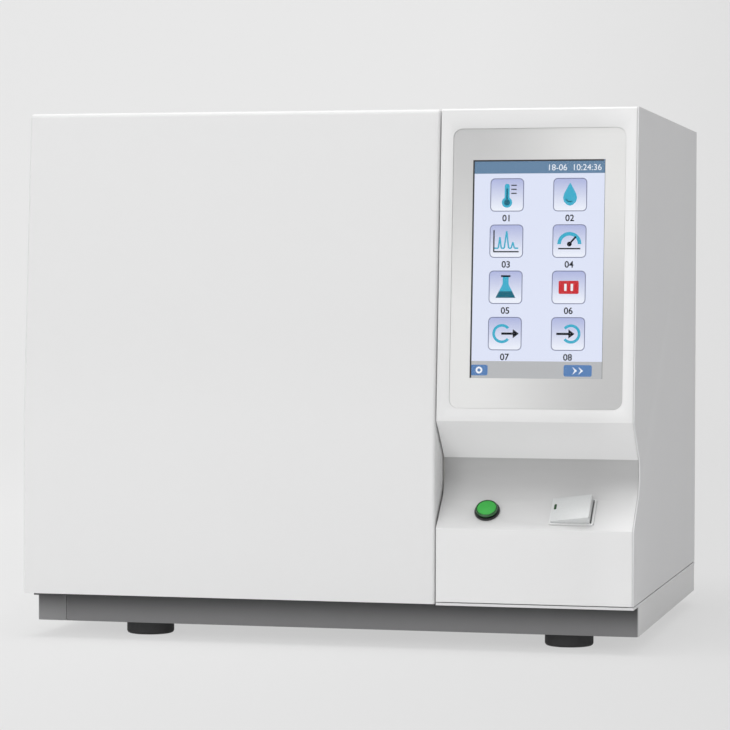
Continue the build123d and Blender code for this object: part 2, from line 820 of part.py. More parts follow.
with BuildPart() as hinge_notches:
    for hinge_z in hinge_zs:
        with BuildSketch(Plane.XY.offset(hinge_z - arm_slot / 2)):
            with BuildLine():
                Polyline(
                    (left_x - 1, notch_front_y),
                    (notch_right_x, notch_front_y),
                    (notch_right_x, door_back_y + 1),
                    (left_x - 1, door_back_y + 1),
                    close=True,
                )
            make_face()
        extrude(amount=arm_slot)

with BuildPart() as door_shell:
    add(door_block(0, door_side_radius, door_top_radius))
    add(door_block(sheet, door_side_radius - sheet, door_top_radius - sheet), mode=Mode.SUBTRACT)
    add(hinge_notches.part, mode=Mode.SUBTRACT)
keep(door_shell, "door_shell")

plate_y = door_back_y - liner_sheet
plug_width = oven_width - 2 * plug_gap
plug_height = oven_height - 2 * plug_gap
plug_inner_width = plug_width - 2 * liner_sheet
plug_inner_height = plug_height - 2 * liner_sheet
plug_corner = 4.0
plug_edge = 3.0
plate_fit = 0.2
back_plate_width = door_width - 2 * (sheet + plate_fit)
back_plate_height = top_z - door_bottom_z - 2 * (sheet + plate_fit)

with BuildPart() as door_back_plate:
    with BuildSketch(facing_plane(door_back_y)):
        with Locations((left_x + door_width / 2, (door_bottom_z + top_z) / 2)):
            RectangleRounded(back_plate_width, back_plate_height, door_side_radius)
        with Locations((oven_x, oven_z)):
            Rectangle(plug_inner_width, plug_inner_height, mode=Mode.SUBTRACT)
    extrude(amount=liner_sheet)
    add(hinge_notches.part, mode=Mode.SUBTRACT)
keep(door_back_plate, "door_back_plate")

with BuildPart() as door_plug:
    with BuildSketch(facing_plane(door_back_y)):
        with Locations((oven_x, oven_z)):
            RectangleRounded(plug_width, plug_height, plug_corner)
    extrude(amount=-plug_reach)
    fillet(door_plug.edges().group_by(Axis.Y)[-1], plug_edge)
    offset(amount=-liner_sheet, openings=door_plug.faces().sort_by(Axis.Y)[0])
keep(door_plug, "door_plug")

wool_gap = 0.4
wool_width = plug_inner_width - 2 * wool_gap
wool_height = plug_inner_height - 2 * wool_gap
wool_setback = 17.0             # front of the wool behind the ridge of the front
wool_front_y = front_y + wool_setback
wool_margin = 26.0
with BuildPart() as door_insulation:
    with BuildSketch(facing_plane(plate_y)):
        with Locations((oven_x, oven_z)):
            Rectangle(wool_width + 2 * wool_margin, wool_height + 2 * wool_margin)
    extrude(amount=plate_y - wool_front_y)
    with BuildSketch(facing_plane(plate_y)):
        with Locations((oven_x, oven_z)):
            RectangleRounded(wool_width, wool_height, plug_corner)
    extrude(amount=-(plug_reach - wool_gap))
    fillet(door_insulation.edges().group_by(Axis.Y)[-1], plug_edge)
keep(door_insulation, "door_insulation")

gasket_clearance = 2.0          # gasket outside the edge of the oven mouth
gasket_reach = gasket_clearance + gasket_width

with BuildPart() as door_gasket:
    with BuildSketch(facing_plane(door_back_y)):
        with Locations((oven_x, oven_z)):
            RectangleRounded(oven_width + 2 * gasket_reach, oven_height + 2 * gasket_reach, gasket_width)
            Rectangle(
                oven_width + 2 * gasket_clearance, oven_height + 2 * gasket_clearance, mode=Mode.SUBTRACT,
            )
    extrude(amount=-(seal_gap - play))
keep(door_gasket, "door_gasket")

lug_right_x = left_x + hinge_lug_reach
lug_front_y = hinge_y - hinge_lug_front
with BuildPart() as door_hinge_lugs:
    for hinge_z in hinge_zs:
        for lug_z in (hinge_z + arm_slot / 2, hinge_z - arm_slot / 2 - hinge_lug_height):
            with BuildSketch(Plane.XY.offset(lug_z)):
                with BuildLine():
                    Polyline(
                        (left_x + sheet, lug_front_y),
                        (lug_right_x, lug_front_y),
                        (lug_right_x, plate_y),
                        (left_x + sheet, plate_y),
                        close=True,
                    )
                make_face()
                with Locations((hinge_x, hinge_y)):
                    Circle(hinge_pin_diameter / 2 + fit, mode=Mode.SUBTRACT)
            extrude(amount=hinge_lug_height)
keep(door_hinge_lugs, "door_hinge_lugs")

arm_plate_left_x = left_x + sheet + play
arm_plate_right_x = arm_right_x + 8
arm_plate_height = 40.0
arm_plate_thickness = 2.5

with BuildPart() as door_hinge_arms:
    for hinge_z in hinge_zs:
        with BuildSketch(Plane.XY.offset(hinge_z - hinge_arm_thickness / 2)):
            with Locations((hinge_x, hinge_y)):
                Circle(hinge_eye_radius)
            with BuildLine():
                Polyline(
                    (arm_left_x, hinge_y),
                    (arm_right_x, hinge_y),
                    (arm_right_x, mouth_y + 1),
                    (arm_left_x, mouth_y + 1),
                    close=True,
                )
            make_face()
            with Locations((hinge_x, hinge_y)):
                Circle(hinge_pin_diameter / 2 + fit, mode=Mode.SUBTRACT)
        extrude(amount=hinge_arm_thickness)
        with BuildSketch(facing_plane(mouth_y)):
            with Locations(((arm_plate_left_x + arm_plate_right_x) / 2, hinge_z)):
                Rectangle(arm_plate_right_x - arm_plate_left_x, arm_plate_height)
        extrude(amount=-arm_plate_thickness)
keep(door_hinge_arms, "door_hinge_arms")

hinge_pin_length = arm_slot + 2 * hinge_lug_height
with BuildPart() as door_hinge_pins:
    for hinge_z in hinge_zs:
        with BuildSketch(Plane.XY.offset(hinge_z - hinge_pin_length / 2)):
            with Locations((hinge_x, hinge_y)):
                Circle(hinge_pin_diameter / 2)
        extrude(amount=hinge_pin_length)
keep(door_hinge_pins, "door_hinge_pins")

magnet_face_y = body_front_y - magnet_stand
with BuildPart() as door_magnets:
    with BuildSketch(facing_plane(magnet_face_y)):
        with Locations(*[(magnet_x, z) for z in magnet_zs]):
            Rectangle(magnet_width - 2 * plate_fit, magnet_height - 2 * plate_fit)
    extrude(amount=-magnet_depth)
    with BuildSketch(facing_plane(mouth_y)):
        with Locations(*[(magnet_x, z) for z in magnet_zs]):
            Rectangle(magnet_width + 4, magnet_height + 12)
    extrude(amount=-2)
keep(door_magnets, "door_magnets")

with BuildPart() as door_strikes:
    with BuildSketch(facing_plane(door_back_y)):
        with Locations(*[(magnet_x, z) for z in magnet_zs]):
            RectangleRounded(magnet_width - 2, magnet_height - 2, 1.5)
    extrude(amount=-strike_thickness)
keep(door_strikes, "door_strikes")

# ---------------------------------------------------------------- top lid
lid_rear_y = back_y - lid_bar_depth - play
lid_axis_y = lid_rear_y - lid_edge_radius
lid_axis_z = top_z - lid_edge_radius
lid_roll_radius = lid_edge_radius - 0.8
lid_bracket_xs = (left_x + lid_bracket_inset, door_right_x - lid_bracket_inset)
skirt_clear = 0.5

with BuildPart() as top_lid:
    with BuildSketch(profile_plane(left_x)):
        with BuildLine():
            Polyline(
                (body_front_y, lid_bottom_z),
                (body_front_y, top_z),
                (lid_rear_y, top_z),
                (lid_rear_y, lid_bottom_z),
                close=True,
            )
        make_face()
    extrude(amount=door_width)
    fillet(top_lid.edges().filter_by(Axis.X).group_by(Axis.Z)[-1].sort_by(Axis.Y)[-1], lid_edge_radius)
    offset(amount=-sheet, openings=top_lid.faces().sort_by(Axis.Z)[0])
    with BuildSketch(profile_plane(left_x)):
        with BuildLine():
            Polyline(
                (lid_axis_y - 1, lid_bottom_z - 1),
                (lid_axis_y - 1, lid_axis_z - lid_edge_radius - skirt_clear),
                (lid_rear_y + 1, lid_axis_z - lid_edge_radius - skirt_clear),
                (lid_rear_y + 1, lid_bottom_z - 1),
                close=True,
            )
        make_face()
    extrude(amount=door_width, mode=Mode.SUBTRACT)
    with BuildSketch(profile_plane(left_x + sheet)):
        with Locations((lid_axis_y, lid_axis_z)):
            Circle(lid_roll_radius)
    extrude(amount=door_width - 2 * sheet)
    for bracket_x in lid_bracket_xs:
        with BuildSketch(profile_plane(bracket_x - lid_notch / 2)):
            with BuildLine():
                Polyline(
                    (lid_axis_y - lid_edge_radius - 2, lid_bottom_z - 1),
                    (lid_axis_y - lid_edge_radius - 2, top_z + 1),
                    (lid_rear_y + 1, top_z + 1),
                    (lid_rear_y + 1, lid_bottom_z - 1),
                    close=True,
                )
            make_face()
        extrude(amount=lid_notch, mode=Mode.SUBTRACT)
        with BuildSketch(profile_plane(bracket_x - lid_pin_length / 2 - 0.5)):
            with Locations((lid_axis_y, lid_axis_z)):
                Circle(lid_pin_diameter / 2 + fit)
        extrude(amount=lid_pin_length + 1, mode=Mode.SUBTRACT)
keep(top_lid, "top_lid")

with BuildPart() as lid_hinge_brackets:
    for bracket_x in lid_bracket_xs:
        with BuildSketch(profile_plane(bracket_x - lid_bracket_width / 2)):
            with BuildLine():
                Polyline(
                    (lid_axis_y, lid_axis_z),
                    (rear_inner_y, lid_axis_z),
                    (rear_inner_y, lid_axis_z - lid_roll_radius),
                    (lid_axis_y, lid_axis_z - lid_roll_radius),
                    close=True,
                )
            make_face()
            with Locations((lid_axis_y, lid_axis_z)):
                Circle(lid_roll_radius)
                Circle(lid_pin_diameter / 2 + fit, mode=Mode.SUBTRACT)
        extrude(amount=lid_bracket_width)
keep(lid_hinge_brackets, "lid_hinge_brackets")

with BuildPart() as lid_hinge_pins:
    for bracket_x in lid_bracket_xs:
        with BuildSketch(profile_plane(bracket_x - lid_pin_length / 2)):
            with Locations((lid_axis_y, lid_axis_z)):
                Circle(lid_pin_diameter / 2)
        extrude(amount=lid_pin_length)
keep(lid_hinge_pins, "lid_hinge_pins")

with BuildPart() as lid_bar:
    with BuildSketch(Plane.XY.offset(top_z - sheet)):
        with BuildLine():
            Polyline(
                (left_x + sheet, back_y - lid_bar_depth),
                (module_left_x - seam, back_y - lid_bar_depth),
                (module_left_x - seam, back_y),
                (left_x + sheet, back_y),
                close=True,
            )
        make_face()
    extrude(amount=sheet)
keep(lid_bar, "lid_bar")

# ---------------------------------------------------------------- exhaust
duct_half = duct_outer / 2
flap_y = back_y - flap_from_rear
flap_half = duct_size / 2 - flap_edge_gap
flap_motor_right_x = duct_x - duct_half
flap_motor_bore = 12.0
cowl_half = duct_half + 10
cowl_sheet = 1.0

with BuildPart() as exhaust_duct:
    with BuildSketch(facing_plane(oven_back_y)):
        with Locations((duct_x, duct_z)):
            Rectangle(duct_outer, duct_outer)
            Rectangle(duct_size, duct_size, mode=Mode.SUBTRACT)
    extrude(amount=-(rear_inner_y - oven_back_y))
    with BuildSketch(profile_plane(duct_x - duct_half - 1)):
        with Locations((flap_y, duct_z)):
            Circle(flap_shaft_diameter / 2 + fit)
    extrude(amount=duct_outer + 2, mode=Mode.SUBTRACT)
keep(exhaust_duct, "exhaust_duct")

with BuildPart() as exhaust_flap:
    with BuildSketch(facing_plane(flap_y + flap_thickness / 2)):
        with Locations((duct_x, duct_z)):
            Rectangle(2 * flap_half, 2 * flap_half)
    extrude(amount=flap_thickness)
    with BuildSketch(profile_plane(flap_motor_right_x - flap_motor_bore + 1)):
        with Locations((flap_y, duct_z)):
            Circle(flap_shaft_diameter / 2)
    extrude(amount=flap_motor_bore - 1 + duct_outer + 2)
keep(exhaust_flap, "exhaust_flap")

with BuildPart() as flap_motor:
    with BuildSketch(profile_plane(flap_motor_right_x)):
        with Locations((flap_y, duct_z)):
            RectangleRounded(flap_motor_size, flap_motor_size, 4)
    extrude(amount=-flap_motor_length)
    with BuildSketch(profile_plane(flap_motor_right_x)):
        with Locations((flap_y, duct_z)):
            Circle(flap_shaft_diameter / 2 + fit)
    extrude(amount=-flap_motor_bore, mode=Mode.SUBTRACT)
keep(flap_motor, "flap_motor")

with BuildPart() as exhaust_cowl:
    with BuildSketch(profile_plane(duct_x - cowl_half)):
        with BuildLine():
            Polyline(
                (back_y, duct_z - cowl_half),
                (back_y + rear_reach, duct_z - cowl_half + rear_reach),
                (back_y + rear_reach, duct_z + cowl_half),
                (back_y, duct_z + cowl_half),
                close=True,
            )
        make_face()
    extrude(amount=2 * cowl_half)
    cowl_mouth = exhaust_cowl.faces().sort_by(Axis.Z)[-1]
    cowl_inlet = exhaust_cowl.faces().filter_by(Axis.Y).sort_by(Axis.Y)[0]
    offset(amount=-cowl_sheet, openings=[cowl_mouth, cowl_inlet])
keep(exhaust_cowl, "exhaust_cowl")

# ---------------------------------------------------------------- rear panel
cooling_fan_x = module_mid_x + cooling_fan_offset
cooling_fan_z = top_z - cooling_fan_drop
cooling_bore = cooling_fan_size / 2 - 2
inlet_x = right_x - inlet_side_inset
inlet_z = pan_top_z + inlet_rise
inlet_width = 28.0
inlet_height = 22.0
inlet_depth = 22.0
inlet_flange = 2.5
inlet_flange_width = 50.0
inlet_flange_height = 24.0
inlet_flange_radius = 5.0
socket_width = 24.0
socket_height = 16.5
socket_radius = 2.0
socket_depth = 16.0
blade_width = 2.0
blade_height = 4.0
blade_spacing = 7.0
blade_drop = 2.5
blade_length = 13.5
gas_xs = [module_left_x + gas_side_inset + gas_pitch * number for number in range(gas_count)]
gas_z = oven_z + gas_rise
gas_body_diameter = 12.0
port_plate_x = module_mid_x + port_plate_offset
port_plate_z = oven_z - port_plate_drop
port_plate_width = 62.0
port_plate_height = 70.0
port_inside = 12.0
port_outside = 6.0
port_openings = ((-12, 18, 24, 12), (-12, -6, 24, 12), (14, 18, 15, 13), (14, -6, 15, 13))
motor_vent_count = 7
motor_vent_pitch = 12.0
motor_vent_length = 80.0
motor_vent_width = 4.0
bay_vent_count = 9

with BuildPart() as rear_panel:
    with BuildSketch(facing_plane(back_y)):
        with BuildLine():
            Polyline(
                (left_x + sheet, pan_top_z),
                (right_x - sheet, pan_top_z),
                (right_x - sheet, top_z - sheet),
                (left_x + sheet, top_z - sheet),
                close=True,
            )
        make_face()
        with Locations((duct_x, duct_z)):
            Rectangle(duct_size, duct_size, mode=Mode.SUBTRACT)
        with Locations((oven_x - motor_vent_offset, oven_z)):
            with GridLocations(0, motor_vent_pitch, 1, motor_vent_count):
                SlotOverall(motor_vent_length, motor_vent_width, mode=Mode.SUBTRACT)
        with Locations((oven_x, (deck_top_z + rim_z) / 2)):
            with GridLocations(motor_vent_pitch, 0, bay_vent_count, 1):
                SlotOverall(motor_vent_length / 2, motor_vent_width, rotation=90, mode=Mode.SUBTRACT)
        with Locations((cooling_fan_x, cooling_fan_z)):
            Circle(cooling_bore, mode=Mode.SUBTRACT)
        with Locations((inlet_x, inlet_z)):
            Rectangle(inlet_width, inlet_height, mode=Mode.SUBTRACT)
        with Locations(*[(x, gas_z) for x in gas_xs]):
            Circle(gas_body_diameter / 2, mode=Mode.SUBTRACT)
        with Locations((port_plate_x, port_plate_z)):
            Rectangle(port_plate_width - 8, port_plate_height - 8, mode=Mode.SUBTRACT)
    extrude(amount=sheet)
keep(rear_panel, "rear_panel")

with BuildPart() as signal_ports:
    with BuildSketch(facing_plane(rear_inner_y)):
        with Locations((port_plate_x, port_plate_z)):
            Rectangle(port_plate_width, port_plate_height)
    extrude(amount=sheet)
    for port_dx, port_dz, port_width, port_tall in port_openings:
        with BuildSketch(facing_plane(rear_inner_y - port_inside)):
            with Locations((port_plate_x + port_dx, port_plate_z + port_dz)):
                RectangleRounded(port_width, port_tall, 1)
        extrude(amount=-(port_inside + port_outside))
        with BuildSketch(facing_plane(rear_inner_y + port_outside)):
            with Locations((port_plate_x + port_dx, port_plate_z + port_dz)):
                RectangleRounded(port_width - 3, port_tall - 3, 1)
        extrude(amount=port_outside + 4, mode=Mode.SUBTRACT)
keep(signal_ports, "signal_ports")

with BuildPart() as mains_inlet:
    with BuildSketch(facing_plane(back_y)):
        with Locations((inlet_x, inlet_z)):
            RectangleRounded(inlet_flange_width, inlet_flange_height, inlet_flange_radius)
    extrude(amount=-inlet_flange)
    with BuildSketch(facing_plane(back_y)):
        with Locations((inlet_x, inlet_z)):
            Rectangle(inlet_width - 2 * plate_fit, inlet_height - 2 * plate_fit)
    extrude(amount=inlet_depth)
    with BuildSketch(facing_plane(back_y + inlet_flange)):
        with Locations((inlet_x, inlet_z)):
            RectangleRounded(socket_width, socket_height, socket_radius)
    extrude(amount=socket_depth, mode=Mode.SUBTRACT)
    with BuildSketch(facing_plane(back_y + inlet_flange - socket_depth)):
        with Locations((inlet_x, inlet_z)):
            with Locations((-blade_spacing, -blade_drop), (0, blade_drop), (blade_spacing, -blade_drop)):
                Rectangle(blade_width, blade_height)
    extrude(amount=-blade_length)
keep(mains_inlet, "mains_inlet")

gas_pin_diameter = 8.0
gas_pin_length = 10.0
gas_nut_radius = 9.0
gas_nut_depth = 6.0
gas_lock_nut_depth = 5.0
gas_bore_diameter = 3.2
gas_bore_depth = gas_pin_length + gas_nut_depth + sheet + gas_lock_nut_depth

with BuildPart() as gas_fittings:
    with BuildSketch(facing_plane(back_y)):
        with Locations(*[(x, gas_z) for x in gas_xs]):
            RegularPolygon(gas_nut_radius, 6)
    extrude(amount=-gas_nut_depth)
    with BuildSketch(facing_plane(back_y + gas_nut_depth)):
        with Locations(*[(x, gas_z) for x in gas_xs]):
            Circle(gas_pin_diameter / 2)
    extrude(amount=-gas_pin_length)
    with BuildSketch(facing_plane(back_y)):
        with Locations(*[(x, gas_z) for x in gas_xs]):
            Circle(gas_body_diameter / 2 - fit)
    extrude(amount=sheet)
    with BuildSketch(facing_plane(rear_inner_y)):
        with Locations(*[(x, gas_z) for x in gas_xs]):
            RegularPolygon(gas_nut_radius, 6)
    extrude(amount=gas_lock_nut_depth)
    with BuildSketch(facing_plane(back_y + gas_nut_depth + gas_pin_length)):
        with Locations(*[(x, gas_z) for x in gas_xs]):
            Circle(gas_bore_diameter / 2)
    extrude(amount=gas_bore_depth, mode=Mode.SUBTRACT)
keep(gas_fittings, "gas_fittings")

# ---------------------------------------------------------------- covers of the control module
def front_outline(rear_y):
    """Side outline of the control module: lower face, slope, bowl, overhang and leaning face."""
    with BuildSketch() as outline:
        with BuildLine():
            slope = Line((front_y, scoop_foot_z), (front_y + slope_run, scoop_foot_z + slope_rise))
            crease = (front_y + scoop_overhang_depth, ridge_z - scoop_overhang_drop)
            bowl = TangentArc(slope @ 1, crease, tangent=slope % 1)
            Polyline(
                bowl @ 1,
                (front_y, ridge_z),
                (front_y + lean_back, top_z),
                (rear_y, top_z),
                (rear_y, panel_bottom_z),
                (front_y, panel_bottom_z),
                slope @ 0,
            )
        make_face()
    return outline.sketch


with BuildPart() as right_side_panel:
    with BuildSketch(profile_plane(right_x - sheet)):
        add(front_outline(back_y))
    extrude(amount=sheet)
keep(right_side_panel, "right_side_panel")

with BuildPart() as module_top_cover:
    with BuildSketch(Plane.XY.offset(top_z - sheet)):
        with BuildLine():
            Polyline(
                (module_left_x, front_y + fascia_depth + seam),
                (right_x - sheet - seam, front_y + fascia_depth + seam),
                (right_x - sheet - seam, back_y),
                (module_left_x, back_y),
                close=True,
            )
        make_face()
    extrude(amount=sheet)
keep(module_top_cover, "module_top_cover")

fascia_rear_y = front_y + fascia_depth
overlay_mid = overlay_foot + overlay_height / 2
screen_mid = screen_foot + screen_height / 2
glass_width = screen_width + 2 * glass_margin
glass_height = screen_height + 2 * glass_margin
cavity_width = switch_width - 2 * switch_lip
cavity_height = switch_height - 2 * switch_lip
switch_box_width = cavity_width + 2 * switch_wall
switch_box_height = cavity_height + 2 * switch_wall

with BuildPart() as control_fascia:
    with BuildSketch(profile_plane(module_left_x)):
        add(front_outline(fascia_rear_y))
    extrude(amount=module_right_x - module_left_x)
    with BuildSketch(profile_plane(module_left_x + fascia_wall)):
        offset(front_outline(fascia_rear_y + 2 * fascia_wall), amount=-fascia_wall, kind=Kind.INTERSECTION)
    extrude(amount=module_right_x - module_left_x - 2 * fascia_wall, mode=Mode.SUBTRACT)
    with BuildSketch(lean_plane):
        with Locations((0, overlay_mid)):
            RectangleRounded(overlay_width + 2 * seam, overlay_height + 2 * seam, overlay_corner + seam)
    extrude(amount=-(overlay_recess + overlay_thickness), mode=Mode.SUBTRACT)
    with BuildSketch(lean_plane):
        with Locations((0, screen_mid)):
            Rectangle(glass_width + 2 * seam, glass_height + 2 * seam)
    extrude(amount=-3 * fascia_wall, mode=Mode.SUBTRACT)
    with BuildSketch(slope_plane):
        with Locations((button_x, button_up)):
            Circle(button_barrel_diameter / 2 + seam)
        with Locations((switch_x, switch_up)):
            Rectangle(switch_box_width + 2 * seam, switch_box_height + 2 * seam)
    extrude(amount=-3 * fascia_wall, mode=Mode.SUBTRACT)
keep(control_fascia, "control_fascia")

with BuildPart() as overlay:
    with BuildSketch(lean_plane.offset(-overlay_recess)):
        with Locations((0, overlay_mid)):
            RectangleRounded(overlay_width, overlay_height, overlay_corner)
        with Locations((0, screen_mid)):
            Rectangle(screen_width, screen_height, mode=Mode.SUBTRACT)
    extrude(amount=-overlay_thickness)
keep(overlay, "overlay")

glass_face = overlay_recess + overlay_thickness
driver_board_width = 108.0
driver_board_height = 172.0
driver_board_depth = 8.0

with BuildPart() as touch_glass:
    with BuildSketch(lean_plane.offset(-glass_face)):
        with Locations((0, screen_mid)):
            Rectangle(glass_width, glass_height)
    extrude(amount=-glass_thickness)
keep(touch_glass, "touch_glass")

with BuildPart() as display_module:
    with BuildSketch(lean_plane.offset(-glass_face - glass_thickness)):
        with Locations((0, screen_mid)):
            Rectangle(glass_width - 2, glass_height - 2)
    extrude(amount=-display_thickness)
    with BuildSketch(lean_plane.offset(-glass_face - glass_thickness - display_thickness)):
        with Locations((0, screen_mid)):
            Rectangle(driver_board_width, driver_board_height)
    extrude(amount=-driver_board_depth)
keep(display_module, "display_module")

# ---------------------------------------------------------------- run-start button
ring_floor = 0.5
ring_edge = 0.4
cap_underside = button_travel + ring_floor + 0.2
cap_edge = 1.0
stem_length = 17.0
stem_bore = stem_length + button_travel + 0.5


def highest_on_slope(edges):
    """The edge that stands highest above the slope."""
    return edges.sort_by(lambda edge: slope_plane.to_local_coords(edge.center()).Z)[-1]


with BuildPart() as start_button_body:
    with BuildSketch(slope_plane):
        with Locations((button_x, button_up)):
            Circle(button_ring_diameter / 2)
    extrude(amount=button_ring_height)
    chamfer(highest_on_slope(start_button_body.edges()), ring_edge)
    with BuildSketch(slope_plane):
        with Locations((button_x, button_up)):
            Circle(button_barrel_diameter / 2)
    extrude(amount=-button_barrel_length)
    with BuildSketch(slope_plane.offset(ring_floor)):
        with Locations((button_x, button_up)):
            Circle(button_cap_diameter / 2 + play)
    extrude(amount=button_ring_height, mode=Mode.SUBTRACT)
    with BuildSketch(slope_plane.offset(ring_floor)):
        with Locations((button_x, button_up)):
            Circle(button_stem_diameter / 2 + play)
    extrude(amount=-stem_bore, mode=Mode.SUBTRACT)
keep(start_button_body, "start_button_body")

with BuildPart() as start_button_cap:
    with BuildSketch(slope_plane.offset(cap_underside)):
        with Locations((button_x, button_up)):
            Circle(button_cap_diameter / 2)
    extrude(amount=button_cap_height - cap_underside)
    fillet(highest_on_slope(start_button_cap.edges()), cap_edge)
    with BuildSketch(slope_plane.offset(cap_underside)):
        with Locations((button_x, button_up)):
            Circle(button_stem_diameter / 2)
    extrude(amount=-stem_length)
keep(start_button_cap, "start_button_cap")

# ---------------------------------------------------------------- power switch
cavity_depth = 9.0
rocker_half = cavity_width / 2 - 0.8
rocker_side = cavity_height / 2 - play
tilt_cos = cos(radians(rocker_tilt))
tilt_sin = sin(radians(rocker_tilt))
rocker_plane = Plane(
    origin=slope_plane.from_local_coords(Vector(switch_x, switch_up, -rocker_axis_drop)),
    x_dir=slope_plane.x_dir * tilt_cos + slope_plane.z_dir * tilt_sin,
    z_dir=slope_plane.z_dir * tilt_cos - slope_plane.x_dir * tilt_sin,
)
rocker_section = Plane(origin=rocker_plane.origin, x_dir=rocker_plane.x_dir, z_dir=-rocker_plane.y_dir)
pin_reach = switch_wall + play - 0.1
lens_pocket = 1.0
lens_from_end = 3.2
lens_up = 3.5

with BuildPart() as switch_body:
    with BuildSketch(slope_plane):
        with Locations((switch_x, switch_up)):
            RectangleRounded(switch_width, switch_height, 1.5)
    extrude(amount=switch_flange)
    with BuildSketch(slope_plane):
        with Locations((switch_x, switch_up)):
            Rectangle(switch_box_width, switch_box_height)
    extrude(amount=-switch_depth)
    with BuildSketch(slope_plane.offset(switch_flange)):
        with Locations((switch_x, switch_up)):
            Rectangle(cavity_width, cavity_height)
    extrude(amount=-(switch_flange + cavity_depth), mode=Mode.SUBTRACT)
    with BuildSketch(rocker_section.offset(-switch_height)):
        Circle(rocker_pin_diameter / 2 + fit)
    extrude(amount=2 * switch_height, mode=Mode.SUBTRACT)
keep(switch_body, "switch_body")

with BuildPart() as switch_rocker:
    with BuildSketch(rocker_section.offset(-rocker_side)):
        with BuildLine():
            Polyline(
                (-rocker_foot_half, -rocker_foot),
                (-rocker_half + rocker_waist, 0),
                (-rocker_half, rocker_top),
                (rocker_half, rocker_top),
                (rocker_half - rocker_waist, 0),
                (rocker_foot_half, -rocker_foot),
            )
            ThreePointArc((rocker_foot_half, -rocker_foot), (0, -rocker_belly), (-rocker_foot_half, -rocker_foot))
        make_face()
    extrude(amount=2 * rocker_side)
    with BuildSketch(rocker_section.offset(-rocker_side - pin_reach)):
        Circle(rocker_pin_diameter / 2)
    extrude(amount=2 * (rocker_side + pin_reach))
    with BuildSketch(rocker_plane.offset(rocker_top)):
        with Locations((-rocker_half + lens_from_end, lens_up)):
            SlotOverall(rocker_lens_height, rocker_lens_width, rotation=90)
    extrude(amount=-lens_pocket, mode=Mode.SUBTRACT)
keep(switch_rocker, "switch_rocker")

with BuildPart() as rocker_lens:
    with BuildSketch(rocker_plane.offset(rocker_top - lens_pocket)):
        with Locations((-rocker_half + lens_from_end, lens_up)):
            SlotOverall(rocker_lens_height - 2 * fit, rocker_lens_width - 2 * fit, rotation=90)
    extrude(amount=lens_pocket - 0.1)
keep(rocker_lens, "rocker_lens")

# ---------------------------------------------------------------- electronics bay
fan_frame_front_y = rear_inner_y - cooling_fan_depth
rotor_gap = 1.2
rotor_radius = cooling_bore - rotor_gap
hub_radius = cooling_fan_hub / 2
spoke_thickness = 3.0

with BuildPart() as cooling_fan_frame:
    with BuildSketch(facing_plane(rear_inner_y)):
        with Locations((cooling_fan_x, cooling_fan_z)):
            RectangleRounded(cooling_fan_size, cooling_fan_size, 4)
            Circle(cooling_bore, mode=Mode.SUBTRACT)
    extrude(amount=cooling_fan_depth)
    with BuildSketch(facing_plane(fan_frame_front_y + spoke_thickness)):
        with Locations((cooling_fan_x, cooling_fan_z)):
            Circle(hub_radius)
            Rectangle(2 * cooling_bore + 1, 4)
            Rectangle(4, 2 * cooling_bore + 1)
    extrude(amount=spoke_thickness)
    with BuildSketch(facing_plane(fan_frame_front_y + spoke_thickness)):
        with Locations((cooling_fan_x, cooling_fan_z)):
            Circle(3)
    extrude(amount=-10)
keep(cooling_fan_frame, "cooling_fan_frame")

with BuildPart() as cooling_fan_rotor:
    with BuildSketch(facing_plane(rear_inner_y - 2)):
        with Locations((cooling_fan_x, cooling_fan_z)):
            Circle(hub_radius)
            with PolarLocations(0, cooling_fan_blades):
                add(fan_blade(hub_radius - 1.5, rotor_radius - 1))
    extrude(amount=cooling_fan_depth - spoke_thickness - 3)
    with BuildSketch(facing_plane(fan_frame_front_y)):
        with Locations((cooling_fan_x, cooling_fan_z)):
            Circle(3 + fit)
    extrude(amount=-16, mode=Mode.SUBTRACT)
keep(cooling_fan_rotor, "cooling_fan_rotor")

bulkhead_right_x = module_left_x + sheet
bay_front_gap = 60.0
board_rise = 110.0
bay_front_y = front_y + fascia_depth + bay_front_gap
board_mid = (bay_front_y + board_depth / 2, pan_top_z + board_rise + board_height / 2)
board_face_x = bulkhead_right_x + board_standoff + board_thickness
pillar_inset = 6.0
pillar_diameter = 6.0
chip_size = 22.0
chip_height = 2.5
chip_pitch = 52.0
connector_length = 150.0
connector_size = 9.0
connector_inset = 12.0

with BuildPart() as main_board:
    with BuildSketch(profile_plane(bulkhead_right_x + board_standoff)):
        with Locations(board_mid):
            Rectangle(board_depth, board_height)
    extrude(amount=board_thickness)
    with BuildSketch(profile_plane(bulkhead_right_x)):
        with Locations(board_mid):
            with GridLocations(board_depth - 2 * pillar_inset, board_height - 2 * pillar_inset, 2, 2):
                Circle(pillar_diameter / 2)
    extrude(amount=board_standoff)
    with BuildSketch(profile_plane(board_face_x)):
        with Locations(board_mid):
            with GridLocations(chip_pitch, chip_pitch, 4, 4):
                Rectangle(chip_size, chip_size)
    extrude(amount=chip_height)
    with BuildSketch(profile_plane(board_face_x)):
        with Locations(board_mid):
            with GridLocations(0, board_height - 2 * connector_inset, 1, 2):
                Rectangle(connector_length, connector_size)
    extrude(amount=connector_size)
keep(main_board, "main_board")

supply_length = 180.0
supply_width = 98.0
supply_height = 50.0
supply_offset = 20.0
supply_mid = (module_mid_x + supply_offset, bay_front_y + supply_length / 2)
supply_vent_length = 70.0
supply_vent_width = 5.0
supply_vent_pitch = 14.0
supply_vent_count = 9
supply_vent_depth = 8.0

